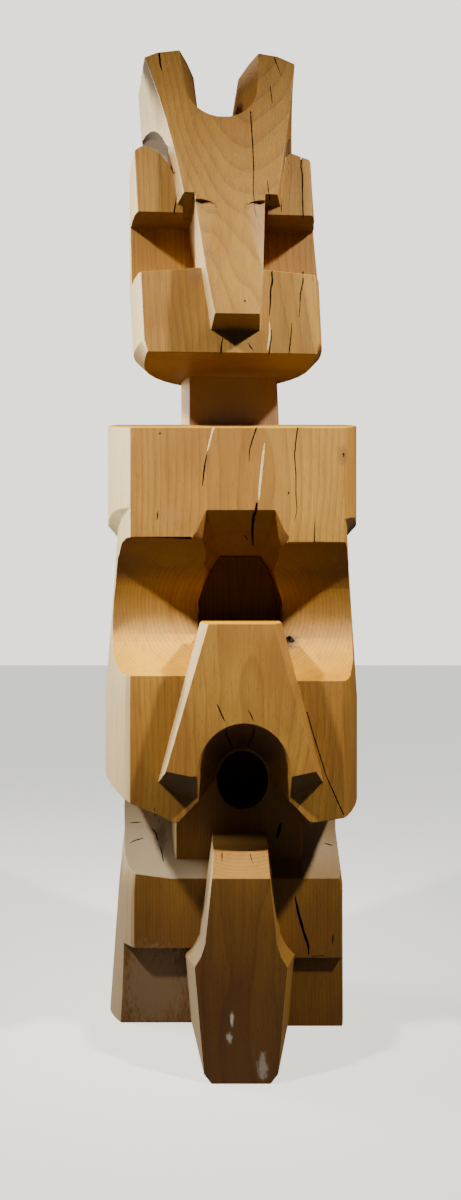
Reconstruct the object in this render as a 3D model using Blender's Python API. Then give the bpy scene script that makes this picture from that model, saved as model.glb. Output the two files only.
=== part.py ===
"""Totem sculpture carved from one upright log: a horned head with a long snout on a neck, a
shoulder block over a hollowed body with a beak and a mouth, and a base with a tongue."""

from dataclasses import dataclass, replace
from math import atan, cos, pi, radians, sin, sqrt

import bmesh
import bpy
from mathutils import Matrix, Vector

# Heights of the bands, bottom to top, in metres
BASE_HEIGHT = 0.232
WAIST_HEIGHT = 0.118
HIP_HEIGHT = 0.207
SCOOP_HEIGHT = 0.195
SHOULDER_HEIGHT = 0.155
NECK_HEIGHT = 0.105
CHIN_HEIGHT = 0.115
EYE_HEIGHT = 0.0805
CHEEK_HEIGHT = 0.0935
HORN_HEIGHT = 0.137

# Depths, measured forwards or backwards from the middle of the log
FACE_FRONT = 0.156
LOG_BACK = 0.194
BASE_FRONT = 0.016
BASE_WIDEST = 0.060
BODY_WIDEST = -0.030

# Half widths of the body, left and right of the middle of the log
BODY_EDGE_LEFT = 0.141
BODY_EDGE_RIGHT = 0.160
HIP_LEFT = 0.191
HIP_RIGHT = 0.193
ARMPIT_LEFT = 0.172
ARMPIT_RIGHT = 0.176
SHOULDER_LEFT = 0.187
SHOULDER_RIGHT = 0.192
HIP_STRAIGHT = 0.166
SHOULDER_SLOPE = 0.164
SHOULDER_LEVEL_FROM = 0.050

# Fullness of the sides and of the back, 1 is a straight slope and 2 a quarter of an ellipse
BODY_BULGE = 1.35
HEAD_BULGE = 1.50
HORN_BULGE = 1.00
BODY_ROUNDNESS = 2.30
HEAD_ROUNDNESS = 2.00

# Underside of the shoulders at the sides, which rises towards the face
ARMPIT_LEVEL = 0.005
ARMPIT_SLOPE_LEFT = 0.283
ARMPIT_SLOPE_RIGHT = 0.159
EAR_RISE = 0.017
EAR_REACH = 0.060
EAR_LIP = 0.001

# Keel-shaped underside of the body
KEEL_LEFT = 0.078
KEEL_RIGHT = 0.118
KEEL_SLOPE_LEFT = 0.430
KEEL_SLOPE_RIGHT = 0.150

# The carving in front stands a little right of the middle of the log
CARVING_X = 0.0145

# Round scoops under the shoulders
RIGHT_SCOOP_DROP = 0.007
SCOOP_OVERLAP = 0.001

# Hood and throat over the beak
HOOD_RISE = 0.038
HOOD_TOP = 0.0486
HOOD_FOOT = 0.0683
HOOD_DEPTH = 0.100
HOOD_DROP = 0.023
THROAT_TOP = 0.030
THROAT_SHOULDER = 0.049
THROAT_SIDE = 0.063
THROAT_BACK = 0.060
THROAT_CROWN = 0.026
THROAT_SPRING = 0.028
THROAT_FLOOR_DROP = 0.030
THROAT_START = 0.060
HOOD_SIDE = 0.058

# Beak
BEAK_HEIGHT = 0.203
BEAK_ABOVE_HIP = 0.075
BEAK_REACH = 0.042
BEAK_TOP = 0.0446
BEAK_FOOT = 0.1032
BEAK_DRAFT = 0.013
BEAK_FOOT_FALL = 0.007
BEAK_FOOT_DROP_OUTER = 0.022
BEAK_FOOT_DROP_INNER = 0.043

# Arched mouth and the round hole in it
MOUTH_OFFSET = 0.0045
ARCH_RADIUS = 0.0643
ARCH_HEIGHT = 0.0695
ARCH_SPRING = 0.0755
ARCH_LEG = 0.0705
ARCH_LEG_RISE = 0.029
HOLE_WIDTH = 0.0807
HOLE_HEIGHT = 0.0918
HOLE_RISE = 0.0254
HOLE_DEPTH = 0.126
HOLE_RIM = 0.004
MOUTH_THROAT = 0.060
MOUTH_THROAT_RISE = 0.012
MOUTH_FALL = 0.020

# Waist between body and base
CORE_FRONT = -0.030
CORE_LEFT = 0.086
CORE_RIGHT = 0.111
CORE_MOUTH = 0.098
CORE_BACK = 0.096
CORE_LEDGE = 0.030
CORE_SPLAY = 0.300
WAIST_LEFT = 0.171
WAIST_RIGHT = 0.169
WAIST_BACK = 0.172
WAIST_EDGE = 0.012
WAIST_SCOOP = 0.080
WAIST_SCOOP_FORWARD = 0.004
WAIST_TILT_LEFT = 0.130

# Base blocks
BASE_EDGE_LEFT = 0.148
BASE_EDGE_RIGHT = 0.171
BASE_LEFT = 0.179
BASE_RIGHT = 0.179
FOOT_LEFT = 0.194
FOOT_RIGHT = 0.180
STEP_LEFT = 0.125
STEP_RIGHT = 0.110
STEP_SET_BACK_LEFT = 0.025
STEP_SET_BACK_RIGHT = 0.012
STEP_INNER_LEFT = 0.030
STEP_INNER_RIGHT = 0.060

# Tongue, from its front face back to the base blocks
TONGUE_REACH = 0.178
TONGUE_TOP = 0.314
TONGUE_BEVEL_DROP = 0.032
TONGUE_BEVEL_DEPTH = 0.048
TONGUE_BACK_DROP = 0.024
TONGUE_FLARE = 0.160
TONGUE_FLARE_HEIGHT = 0.032
TONGUE_FLARE_BACK_DROP = 0.045
TONGUE_FRONT_WIDTHS = (0.037, 0.0495, 0.064, 0.051)
TONGUE_BACK_WIDTHS = (0.043, 0.062, 0.084, 0.075)
TONGUE_FLARE_BEND = 0.400
TONGUE_FLARE_BEND_RISE = 0.0144
TONGUE_CORNER = 0.013
TONGUE_CORNER_IN = 0.0104

# Neck
NECK_FRONT = 0.021
NECK_EDGE_LEFT = 0.0646
NECK_EDGE_RIGHT = 0.0693
NECK_SIDE_LEFT = 0.0805
NECK_SIDE_RIGHT = 0.0750
NECK_FOOT_FLARE = 0.0065
NECK_WIDEST = 0.080
NECK_BACK = 0.135

# Head
HEAD_X = 0.003
HEAD_TURN = radians(4.0)
HEAD_LEAN = -0.050
HEAD_EDGE = 0.123
HEAD_SIDE = 0.141
HEAD_WIDEST = -0.045
HEAD_BACK = 0.155
HEAD_UNDER_BEVEL = 0.016
HEAD_UNDER_EDGE = 0.004
HEAD_UNDER_BACK = 0.024
CHEEK_SIDE = 0.133
CHEEK_EDGE = 0.010
EYE_DEPTH = 0.070
EYE_FLOOR_RISE = 0.008
EYE_FLOOR_SLOPE = 0.090

# Snout, a little right of the middle of the head
SNOUT_X = 0.0055
SNOUT_NOSE_WIDTH = 0.0310
SNOUT_MIDDLE_WIDTH = 0.0398
SNOUT_BROW_WIDTH = 0.0490
SNOUT_MIDDLE_RISE = 0.066
SNOUT_DRAFT = 0.011
SNOUT_SET_IN = 0.0004
NOSE_RISE = 0.044
NOSE_REACH = 0.045
NOSE_UNDERCUT = 0.275

# Brows and the creases under them
BROW_RISE = 0.020
BROW_REACH = 0.025
BROW_UNDERCUT = 0.333
BROW_POCKET = 0.029
BROW_EDGE_LEFT = 0.0585
BROW_EDGE_RIGHT = 0.0715
CREASE_INNER = 0.020
CREASE_OUTER = 0.066
CREASE_DROP = 0.023
CREASE_DEPTH = 0.250
CREASE_END = 0.104
CREASE_END_WIDTH = 0.040

# Cheek lobes and their sloping tops
LOBE_X = 0.112
LOBE_WIDTH = 0.0524
LOBE_OVER = 0.0012
CHEEK_TOP_LEFT = 0.112
CHEEK_TOP_RIGHT = 0.080
CHEEK_TOP_FALL_LEFT = 0.640
CHEEK_TOP_FALL_RIGHT = 0.330

# Gouged grooves over the lobes, each higher and a little narrower than its lobe
GROOVE_TRIM = 0.0010
GROOVE_RISE_LEFT = 0.0505
GROOVE_RISE_RIGHT = 0.0385
GROOVE_INSET_LEFT = 0.0061
GROOVE_INSET_RIGHT = 0.0201
GROOVE_SPLAY = 2.970
GROOVE_POCKET = 0.025
GROOVE_CEILING = 0.550

# Horns and the notch between them
HORN_REACH = -0.004
HORN_EDGE_LEFT = 0.1077
HORN_EDGE_RIGHT = 0.1113
HORN_SIDE_LEFT = 0.114
HORN_SIDE_RIGHT = 0.119
TEMPLE_SIDE = 0.109
FOREHEAD_SAG_LEFT = 0.0057
FOREHEAD_SAG_RIGHT = -0.0020
HORN_BACK = 0.149
HORN_TOP_INNER = 0.055
HORN_TOP_MIDDLE = 0.085
HORN_TOP_MIDDLE_DROP = 0.0045
HORN_TOP_OUTER = 0.110
HORN_TOP_OUTER_DROP = 0.0155
NOTCH_X = 0.0025
NOTCH_FRONT = 0.057
NOTCH_NECK = 0.033
NOTCH_FLARE_DEPTH = 0.085
NOTCH_DEPTH = 0.0975
NOTCH_ROUND = 0.045
NOTCH_WAIST = 0.880

# Fineness of the round surfaces
SIDE_STEPS = 5
BACK_STEPS = 9
ROUND_STEPS = 48
ARCH_STEPS = 20
LOBE_STEPS = 12
HORN_STEPS = 6
CREASE_STEPS = 8
NOTCH_STEPS = 10

# Cutters reach this far past what they cut, and joined blocks sink this far into each other
CLEAR = 0.060
JOIN = 0.020

# Points closer than this merge, and faces that turn less than this make one flat face
MERGE = 0.00003
FLAT = radians(0.05)

# Levels that follow from the heights
Z_TORSO = BASE_HEIGHT + WAIST_HEIGHT
Z_HIP = Z_TORSO + HIP_HEIGHT
Z_SHOULDER = Z_HIP + SCOOP_HEIGHT
Z_SHOULDER_TOP = Z_SHOULDER + SHOULDER_HEIGHT
Z_CHIN = Z_SHOULDER_TOP + NECK_HEIGHT
Z_EYE = Z_CHIN + CHIN_HEIGHT
Z_CHEEK = Z_EYE + EYE_HEIGHT
Z_CHEEK_TOP = Z_CHEEK + CHEEK_HEIGHT
Z_HORN = Z_CHEEK_TOP + HORN_HEIGHT
Z_BROW = Z_CHEEK + BROW_RISE
Z_NOSE = Z_CHIN + NOSE_RISE
Z_NOTCH = Z_HORN - NOTCH_DEPTH
Z_BEAK_TOP = Z_HIP + BEAK_ABOVE_HIP
Z_BEAK_FOOT = Z_BEAK_TOP - BEAK_HEIGHT


@dataclass(frozen=True)
class Plan:
    """Level cut through the log: a flat front, two sides that swell to the widest line, a round back."""

    front: float
    widest: float
    back: float
    left_edge: float
    left: float
    right_edge: float
    right: float
    bulge: float = BODY_BULGE
    roundness: float = BODY_ROUNDNESS

    def side(self, edge, half_width):
        """Points of one side, from the front edge round to just before the middle of the back."""
        points = []
        for step in range(SIDE_STEPS + 1):
            turn = 0.5 * pi * step / SIDE_STEPS
            x = edge + (half_width - edge) * sin(turn) ** (2.0 / self.bulge)
            y = self.widest - (self.widest - self.front) * max(cos(turn), 0.0) ** (2.0 / self.bulge)
            points.append((x, y))
        for step in range(1, BACK_STEPS):
            turn = 0.5 * pi * step / BACK_STEPS
            x = half_width * cos(turn) ** (2.0 / self.roundness)
            y = self.widest + (self.back - self.widest) * sin(turn) ** (2.0 / self.roundness)
            points.append((x, y))
        return points

    def ring(self, z, centre=0.0):
        """The whole outline at one height, counter-clockwise from the middle of the back."""
        left = [(centre - x, y, z) for x, y in reversed(self.side(self.left_edge, self.left))]
        right = [(centre + x, y, z) for x, y in self.side(self.right_edge, self.right)]
        return [(centre, self.back, z)] + left + right


def in_place(point):
    """A point of the body stays where it is."""
    return Vector(point)


def on_head(point):
    """Place of a point of the head, which leans to the left and looks a little to the right."""
    x, y, z = point
    leaned = Vector((x + HEAD_LEAN * (z - Z_CHIN), y + FACE_FRONT, 0.0))
    turned = Matrix.Rotation(HEAD_TURN, 3, "Z") @ leaned
    return Vector((turned.x + HEAD_X, turned.y - FACE_FRONT, z))


def loft(name, rings, place=in_place):
    """Closed solid through rings of equally many points, capped at both ends."""
    mesh = bpy.data.meshes.new(name)
    shape = bmesh.new()
    rows = [[shape.verts.new(place(point)) for point in ring] for ring in rings]
    for lower, upper in zip(rows, rows[1:]):
        for index in range(len(lower)):
            after = (index + 1) % len(lower)
            shape.faces.new((lower[index], lower[after], upper[after], upper[index]))
    shape.faces.new(rows[0])
    shape.faces.new(rows[-1])
    shape.normal_update()
    bmesh.ops.triangulate(shape, faces=shape.faces)
    bmesh.ops.recalc_face_normals(shape, faces=shape.faces)
    shape.to_mesh(mesh)
    shape.free()
    solid = bpy.data.objects.new(name, mesh)
    bpy.context.scene.collection.objects.link(solid)
    return solid


def across(name, profile, start, end, place=in_place):
    """Prism along X of a profile of (y, z) points."""
    return loft(name, [[(x, y, z) for y, z in profile] for x in (start, end)], place)


def through(name, profiles, place=in_place):
    """Solid along Y through profiles, each a pair of its y and its (x, z) points."""
    return loft(name, [[(x, y, z) for x, z in points] for y, points in profiles], place)


def mirrored(half, centre):
    """Closed profile from its right half, given from the top downwards, about a middle line."""
    right = [(centre + x, z) for x, z in half]
    left = [(centre - x, z) for x, z in reversed(half)]
    return right + left


def clean(mesh):
    """Merges points that fall together, drops slivers and leaves flat triangles."""
    shape = bmesh.new()
    shape.from_mesh(mesh)
    bmesh.ops.remove_doubles(shape, verts=shape.verts, dist=MERGE)
    bmesh.ops.dissolve_degenerate(shape, edges=shape.edges, dist=MERGE)
    bmesh.ops.dissolve_limit(shape, angle_limit=FLAT, verts=shape.verts, edges=shape.edges)
    bmesh.ops.triangulate(shape, faces=shape.faces)
    shape.to_mesh(mesh)
    shape.free()


def combine(body, other, operation):
    """Exact Boolean of the body with another solid, which is used up."""
    step = body.modifiers.new(other.name, "BOOLEAN")
    step.operation = operation
    step.solver = "EXACT"
    step.object = other
    bpy.context.view_layer.update()
    result = bpy.data.meshes.new_from_object(body.evaluated_get(bpy.context.evaluated_depsgraph_get()))
    body.modifiers.remove(step)
    clean(result)
    old = body.data
    body.data = result
    bpy.data.meshes.remove(old)
    bpy.data.objects.remove(other)


def add(body, other):
    """Joins another solid to the body."""
    combine(body, other, "UNION")


def cut(body, other):
    """Cuts another solid out of the body."""
    combine(body, other, "DIFFERENCE")


def armpit_level(x, y):
    """Height of the crease between body and shoulder, which rises from the widest line to the face."""
    slope = ARMPIT_SLOPE_LEFT if x < 0.0 else ARMPIT_SLOPE_RIGHT
    return Z_SHOULDER + ARMPIT_LEVEL + slope * max(BODY_WIDEST - y, 0.0)


def ear_level(x, y):
    """Height of the lower edge of the shoulder, outside the crease."""
    share = min((y + FACE_FRONT) / EAR_REACH, 1.0)
    return armpit_level(x, y) + EAR_LIP + EAR_RISE * share


def torso():
    """Body blank, from its keel to the sloping top of the shoulders."""
    hip = Plan(-FACE_FRONT, BODY_WIDEST, LOG_BACK, BODY_EDGE_LEFT, HIP_LEFT, BODY_EDGE_RIGHT, HIP_RIGHT)
    armpit = replace(hip, left=ARMPIT_LEFT, right=ARMPIT_RIGHT)
    shoulder = replace(hip, left=SHOULDER_LEFT, right=SHOULDER_RIGHT)
    top = Z_SHOULDER_TOP + CLEAR
    rings = [
        hip.ring(Z_TORSO),
        hip.ring(Z_TORSO + HIP_STRAIGHT),
        [(x, y, armpit_level(x, y)) for x, y, _ in armpit.ring(Z_SHOULDER)],
        [(x, y, ear_level(x, y)) for x, y, _ in shoulder.ring(Z_SHOULDER)],
        shoulder.ring(top),
    ]
    body = loft("totem", rings)

    reach = LOG_BACK + CLEAR
    slope_start = -FACE_FRONT - CLEAR
    level = Z_SHOULDER_TOP + SHOULDER_SLOPE * (FACE_FRONT + SHOULDER_LEVEL_FROM)
    roof = [
        (slope_start, Z_SHOULDER_TOP - SHOULDER_SLOPE * CLEAR),
        (SHOULDER_LEVEL_FROM, level),
        (reach, level),
        (reach, top + CLEAR),
        (slope_start, top + CLEAR),
    ]
    cut(body, across("roof_cut", roof, -HIP_LEFT - CLEAR, HIP_RIGHT + CLEAR))

    for side, keel, slope, half_width in (
        (-1.0, KEEL_LEFT, KEEL_SLOPE_LEFT, HIP_LEFT),
        (1.0, KEEL_RIGHT, KEEL_SLOPE_RIGHT, HIP_RIGHT),
    ):
        inner = keel - 0.5 * CLEAR
        outer = half_width + CLEAR
        under = [
            (side * inner, Z_TORSO - slope * 0.5 * CLEAR),
            (side * outer, Z_TORSO + slope * (outer - keel)),
            (side * outer, Z_TORSO - CLEAR),
            (side * inner, Z_TORSO - CLEAR),
        ]
        cut(body, through("keel_cut", [(-FACE_FRONT - CLEAR, under), (reach, under)]))
    return body


def circle(centre_y, centre_z, radius, steps=ROUND_STEPS):
    """Round profile of (y, z) points."""
    angles = [2.0 * pi * (step + 0.5) / steps for step in range(steps)]
    return [(centre_y + radius * cos(angle), centre_z + radius * sin(angle)) for angle in angles]


def cut_scoops(body):
    """Two half-round hollows across the front, under the left and the right shoulder."""
    radius = 0.5 * SCOOP_HEIGHT
    middle = Z_HIP + radius
    left = circle(-FACE_FRONT, middle, radius)
    right = circle(-FACE_FRONT, middle - RIGHT_SCOOP_DROP, radius)
    cut(body, across("left_scoop", left, -HIP_LEFT - CLEAR, CARVING_X + SCOOP_OVERLAP))
    cut(body, across("right_scoop", right, CARVING_X, HIP_RIGHT + CLEAR))


def add_beak(body):
    """Beak: a tapering block that stands out from the body, its foot undercut."""
    front = [(BEAK_TOP, Z_BEAK_TOP), (BEAK_FOOT, Z_BEAK_FOOT), (ARCH_LEG, Z_BEAK_FOOT - BEAK_FOOT_FALL)]
    root = [
        (BEAK_TOP + BEAK_DRAFT, Z_BEAK_TOP),
        (BEAK_FOOT + BEAK_DRAFT, Z_BEAK_FOOT - BEAK_FOOT_DROP_OUTER),
        (ARCH_LEG, Z_BEAK_FOOT - BEAK_FOOT_DROP_INNER),
    ]
    profiles = [
        (-FACE_FRONT - BEAK_REACH, mirrored(front, CARVING_X)),
        (-FACE_FRONT, mirrored(root, CARVING_X)),
        (-FACE_FRONT + 0.5 * SCOOP_HEIGHT + JOIN, mirrored(root, CARVING_X)),
    ]
    add(body, through("beak", profiles))


def cut_throat(body):
    """Hood over the beak, and the deep throat behind it."""
    z_back = Z_SHOULDER - HOOD_DROP
    hood_front = [(HOOD_TOP, Z_SHOULDER + HOOD_RISE), (HOOD_FOOT, Z_SHOULDER),
                  (HOOD_FOOT, Z_SHOULDER - HOOD_SIDE)]
    hood_back = [(THROAT_TOP, z_back), (THROAT_SHOULDER, z_back - THROAT_CROWN),
                 (THROAT_SIDE, Z_BEAK_TOP + 0.5 * THROAT_SPRING)]
    slope = CLEAR / HOOD_DEPTH
    hood_before = [(a[0] + (a[0] - b[0]) * slope, a[1] + (a[1] - b[1]) * slope)
                   for a, b in zip(hood_front, hood_back)]
    cut(body, through("hood", [
        (-FACE_FRONT - CLEAR, mirrored(hood_before, CARVING_X)),
        (-FACE_FRONT + HOOD_DEPTH, mirrored(hood_back, CARVING_X)),
    ]))
    throat = [
        (THROAT_TOP, z_back),
        (THROAT_SHOULDER, z_back - THROAT_CROWN),
        (THROAT_SIDE, Z_BEAK_TOP + THROAT_SPRING),
        (THROAT_SIDE, Z_BEAK_TOP - THROAT_FLOOR_DROP),
    ]
    cut(body, through("throat", [
        (-FACE_FRONT + THROAT_START, mirrored(throat, CARVING_X)),
        (THROAT_BACK, mirrored(throat, CARVING_X)),
    ]))


def arched(radius_x, radius_z, spring, foot):
    """Half of an arched profile: the round head from its crown, then the points of its foot."""
    points = []
    for step in range(ARCH_STEPS + 1):
        turn = 0.5 * pi * (step + 0.5) / (ARCH_STEPS + 0.5)
        points.append((radius_x * sin(turn), spring + radius_z * cos(turn)))
    return points + foot


def cut_mouth(body):
    """Arched mouth that narrows towards a round hole, and opens downwards in front of the waist."""
    beak_front = -FACE_FRONT - BEAK_REACH
    core = -CORE_FRONT
    front = arched(ARCH_RADIUS, ARCH_HEIGHT, Z_TORSO + ARCH_SPRING, [
        (ARCH_LEG, Z_TORSO + ARCH_LEG_RISE),
        (CORE_MOUTH, Z_TORSO),
        (CORE_MOUTH, Z_TORSO - CLEAR),
    ])
    back = arched(0.5 * HOLE_WIDTH + HOLE_RIM, 0.5 * HOLE_HEIGHT + HOLE_RIM, Z_TORSO + HOLE_RISE, [
        (MOUTH_THROAT, Z_TORSO + MOUTH_THROAT_RISE),
        (CORE_BACK, Z_TORSO - MOUTH_FALL),
        (CORE_BACK, BASE_HEIGHT + CORE_LEDGE),
    ])
    middle = CARVING_X + MOUTH_OFFSET
    cut(body, through("mouth", [
        (beak_front - CLEAR, mirrored(front, middle)),
        (beak_front, mirrored(front, middle)),
        (core, mirrored(back, middle)),
    ]))
    hole = [(middle + x * HOLE_WIDTH, Z_TORSO + HOLE_RISE + z * HOLE_HEIGHT)
            for x, z in circle(0.0, 0.0, 0.5)]
    cut(body, through("hole", [(core - JOIN, hole), (core + HOLE_DEPTH, hole)]))


def base():
    """Base blank up into the body, with the waist scoops and the set-back feet cut."""
    foot = Plan(-BASE_FRONT, BASE_WIDEST, LOG_BACK, BASE_EDGE_LEFT, FOOT_LEFT, BASE_EDGE_RIGHT,
                FOOT_RIGHT)
    block = replace(foot, left=BASE_LEFT, right=BASE_RIGHT)
    waist = replace(foot, left=WAIST_LEFT, right=WAIST_RIGHT, left_edge=BASE_EDGE_LEFT - 0.5 * WAIST_EDGE,
                    right_edge=WAIST_RIGHT - WAIST_EDGE, back=WAIST_BACK)
    blank = loft("base", [
        foot.ring(0.0),
        block.ring(BASE_HEIGHT - JOIN),
        waist.ring(BASE_HEIGHT + 0.5 * WAIST_HEIGHT),
        waist.ring(Z_TORSO + max(KEEL_SLOPE_LEFT * (HIP_LEFT - KEEL_LEFT),
                                 KEEL_SLOPE_RIGHT * (HIP_RIGHT - KEEL_RIGHT)) + JOIN),
    ])
    scoop = circle(-BASE_FRONT - WAIST_SCOOP_FORWARD, BASE_HEIGHT + WAIST_SCOOP, WAIST_SCOOP)
    outer = FOOT_LEFT + CLEAR
    cut(blank, loft("waist_scoop", [
        [(-outer, y, z + WAIST_TILT_LEFT * (outer - CORE_LEFT)) for y, z in scoop],
        [(-CORE_LEFT, y, z) for y, z in scoop],
        [(outer, y, z) for y, z in scoop],
    ]))
    root = -BASE_FRONT - WAIST_SCOOP_FORWARD + WAIST_SCOOP + JOIN
    splay = CORE_SPLAY * (root + CORE_FRONT)
    core = [(-CORE_LEFT, -CORE_FRONT), (CORE_RIGHT, -CORE_FRONT), (CORE_RIGHT + splay, root),
            (-CORE_LEFT - splay, root)]
    add(blank, loft("core", [[(x, y, z) for x, y in core] for z in (BASE_HEIGHT - JOIN, Z_TORSO + JOIN)]))
    for side, inner, step, set_back in (
        (-1.0, STEP_INNER_LEFT, STEP_LEFT, STEP_SET_BACK_LEFT),
        (1.0, STEP_INNER_RIGHT, STEP_RIGHT, STEP_SET_BACK_RIGHT),
    ):
        profile = [(-BASE_FRONT - CLEAR, step), (-BASE_FRONT + set_back, step),
                   (-BASE_FRONT + set_back, -CLEAR), (-BASE_FRONT - CLEAR, -CLEAR)]
        cut(blank, across("step", profile, side * inner, side * outer))
    return blank


def tongue():
    """Tongue: a coffin-shaped block that stands on the ground and runs back into the base."""
    def half(widths, top, flare):
        top_width, waist_width, flare_width, foot_width = widths
        return [
            (top_width, top),
            (waist_width, flare + TONGUE_FLARE_HEIGHT),
            (waist_width + TONGUE_FLARE_BEND * (flare_width - waist_width), flare + TONGUE_FLARE_BEND_RISE),
            (flare_width, flare),
            (foot_width, TONGUE_CORNER),
            (foot_width - TONGUE_CORNER_IN, 0.0),
        ]

    front_y = -BASE_FRONT - TONGUE_REACH
    front = half(TONGUE_FRONT_WIDTHS, TONGUE_TOP, TONGUE_FLARE)
    back = half(TONGUE_BACK_WIDTHS, TONGUE_TOP - TONGUE_BACK_DROP, TONGUE_FLARE - TONGUE_FLARE_BACK_DROP)
    block = through("tongue", [
        (front_y, mirrored(front, CARVING_X)),
        (-BASE_FRONT, mirrored(back, CARVING_X)),
        (-BASE_FRONT + max(STEP_SET_BACK_LEFT, STEP_SET_BACK_RIGHT) + 2.0 * JOIN, mirrored(back, CARVING_X)),
    ])
    slope = TONGUE_BEVEL_DROP / TONGUE_BEVEL_DEPTH
    low = TONGUE_TOP - TONGUE_BEVEL_DROP
    bevel = [
        (front_y - CLEAR, low - slope * CLEAR),
        (front_y + TONGUE_BEVEL_DEPTH + CLEAR, TONGUE_TOP + slope * CLEAR),
        (front_y - CLEAR, TONGUE_TOP + slope * CLEAR + CLEAR),
    ]
    cut(block, across("bevel", bevel, -FOOT_LEFT, FOOT_RIGHT))
    return block


def neck():
    """Neck between the shoulders and the head, a little wider at its foot."""
    top = Plan(NECK_FRONT, NECK_WIDEST, NECK_BACK, NECK_EDGE_LEFT, NECK_SIDE_LEFT, NECK_EDGE_RIGHT,
               NECK_SIDE_RIGHT)
    foot = replace(top, right_edge=NECK_EDGE_RIGHT + NECK_FOOT_FLARE, right=NECK_SIDE_RIGHT + NECK_FOOT_FLARE)
    return loft("neck", [foot.ring(Z_SHOULDER_TOP - JOIN), top.ring(Z_CHIN + JOIN)])


def face_y(z):
    """Depth of the front of the head: it leans back over the brows, and forward down to the nose."""
    brow_y = -FACE_FRONT - BROW_REACH
    if z > Z_BROW:
        return brow_y + (BROW_REACH - HORN_REACH) * (z - Z_BROW) / (Z_HORN - Z_BROW)
    return brow_y - (NOSE_REACH - BROW_REACH) * (Z_BROW - z) / (Z_BROW - Z_NOSE)


def cheeks():
    """Chin and cheeks in one blank, cut away round the cheek lobes to make room for the forehead."""
    chin = Plan(-FACE_FRONT, HEAD_WIDEST, HEAD_BACK, HEAD_EDGE, HEAD_SIDE, HEAD_EDGE, HEAD_SIDE,
                HEAD_BULGE, HEAD_ROUNDNESS)
    under_side = HEAD_SIDE - HEAD_UNDER_BEVEL
    under_edge = HEAD_EDGE - HEAD_UNDER_EDGE
    under = replace(chin, left=under_side, right=under_side, left_edge=under_edge, right_edge=under_edge,
                    back=HEAD_BACK - HEAD_UNDER_BACK)
    cheek_edge = CHEEK_SIDE - CHEEK_EDGE
    cheek = replace(chin, left=CHEEK_SIDE, right=CHEEK_SIDE, left_edge=cheek_edge, right_edge=cheek_edge)
    blank = loft("head", [
        under.ring(Z_CHIN),
        chin.ring(Z_CHIN + HEAD_UNDER_BEVEL),
        chin.ring(Z_EYE),
        cheek.ring(Z_CHEEK_TOP),
    ], on_head)
    outer = HEAD_SIDE + CLEAR
    for side, inner, fall in ((-1.0, CHEEK_TOP_LEFT, CHEEK_TOP_FALL_LEFT),
                              (1.0, CHEEK_TOP_RIGHT, CHEEK_TOP_FALL_RIGHT)):
        over = [(side * inner, Z_CHEEK_TOP), (side * outer, Z_CHEEK_TOP - fall * (outer - inner)),
                (side * outer, Z_CHEEK_TOP + CLEAR), (side * inner, Z_CHEEK_TOP + CLEAR)]
        cut(blank, through("cheek_top", [(-FACE_FRONT - CLEAR, over), (HEAD_BACK + CLEAR, over)], on_head))
    between = [(LOBE_X, Z_CHEEK_TOP + CLEAR)]
    for step in range(LOBE_STEPS + 1):
        turn = 0.5 * pi * step / LOBE_STEPS
        height = CHEEK_HEIGHT + LOBE_OVER
        between.append((LOBE_X - LOBE_WIDTH * sin(turn), Z_CHEEK + height * cos(turn)))
    between.append((LOBE_X - LOBE_WIDTH, Z_EYE + 0.5 * EYE_HEIGHT))
    cut(blank, through("between_lobes", [
        (-FACE_FRONT - CLEAR, mirrored(between, 0.0)),
        (-FACE_FRONT + BROW_POCKET, mirrored(between, 0.0)),
    ], on_head))
    return blank


def forehead():
    """Forehead and horns in one block, whose outer edges run up in a hollow and a full curve."""
    rings = []
    levels = [Z_BROW + step * (Z_HORN - Z_BROW) / HORN_STEPS for step in range(HORN_STEPS + 1)]
    for level in levels + [Z_HORN + JOIN]:
        share = (level - Z_BROW) / (Z_HORN - Z_BROW)
        bow = 4.0 * share * max(1.0 - share, 0.0)
        plan = Plan(
            front=face_y(level),
            widest=HEAD_WIDEST,
            back=HORN_BACK,
            left_edge=BROW_EDGE_LEFT + share * (HORN_EDGE_LEFT - BROW_EDGE_LEFT) - bow * FOREHEAD_SAG_LEFT,
            left=TEMPLE_SIDE + share * (HORN_SIDE_LEFT - TEMPLE_SIDE),
            right_edge=BROW_EDGE_RIGHT + share * (HORN_EDGE_RIGHT - BROW_EDGE_RIGHT)
            - bow * FOREHEAD_SAG_RIGHT,
            right=TEMPLE_SIDE + share * (HORN_SIDE_RIGHT - TEMPLE_SIDE),
            bulge=HORN_BULGE,
            roundness=HEAD_ROUNDNESS,
        )
        ring = plan.ring(level)
        if level == Z_BROW:
            ring = [(x, y, z - BROW_UNDERCUT * (y - plan.front)) for x, y, z in ring]
        rings.append(ring)
    return loft("forehead", rings, on_head)


def cut_eyes(body):
    """Eye hollows, one level slot right across the face whose floor falls to both sides."""
    back = -FACE_FRONT + EYE_DEPTH
    before = -FACE_FRONT - CLEAR
    rings = []
    for x in (-HEAD_SIDE - CLEAR, 0.0, HEAD_SIDE + CLEAR):
        floor = Z_EYE + EYE_FLOOR_RISE - EYE_FLOOR_SLOPE * abs(x)
        rings.append([(x, before, floor), (x, back, floor), (x, back, Z_CHEEK), (x, before, Z_CHEEK)])
    cut(body, loft("eyes", rings, on_head))


def quarter(width, height, start):
    """Points of an ellipse about a lobe's middle, from a steep start up to its crown."""
    turns = [start + step / LOBE_STEPS * (0.5 * pi - start) for step in range(LOBE_STEPS + 1)]
    return [(LOBE_X - width * cos(turn), Z_CHEEK + height * sin(turn)) for turn in turns]


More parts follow.
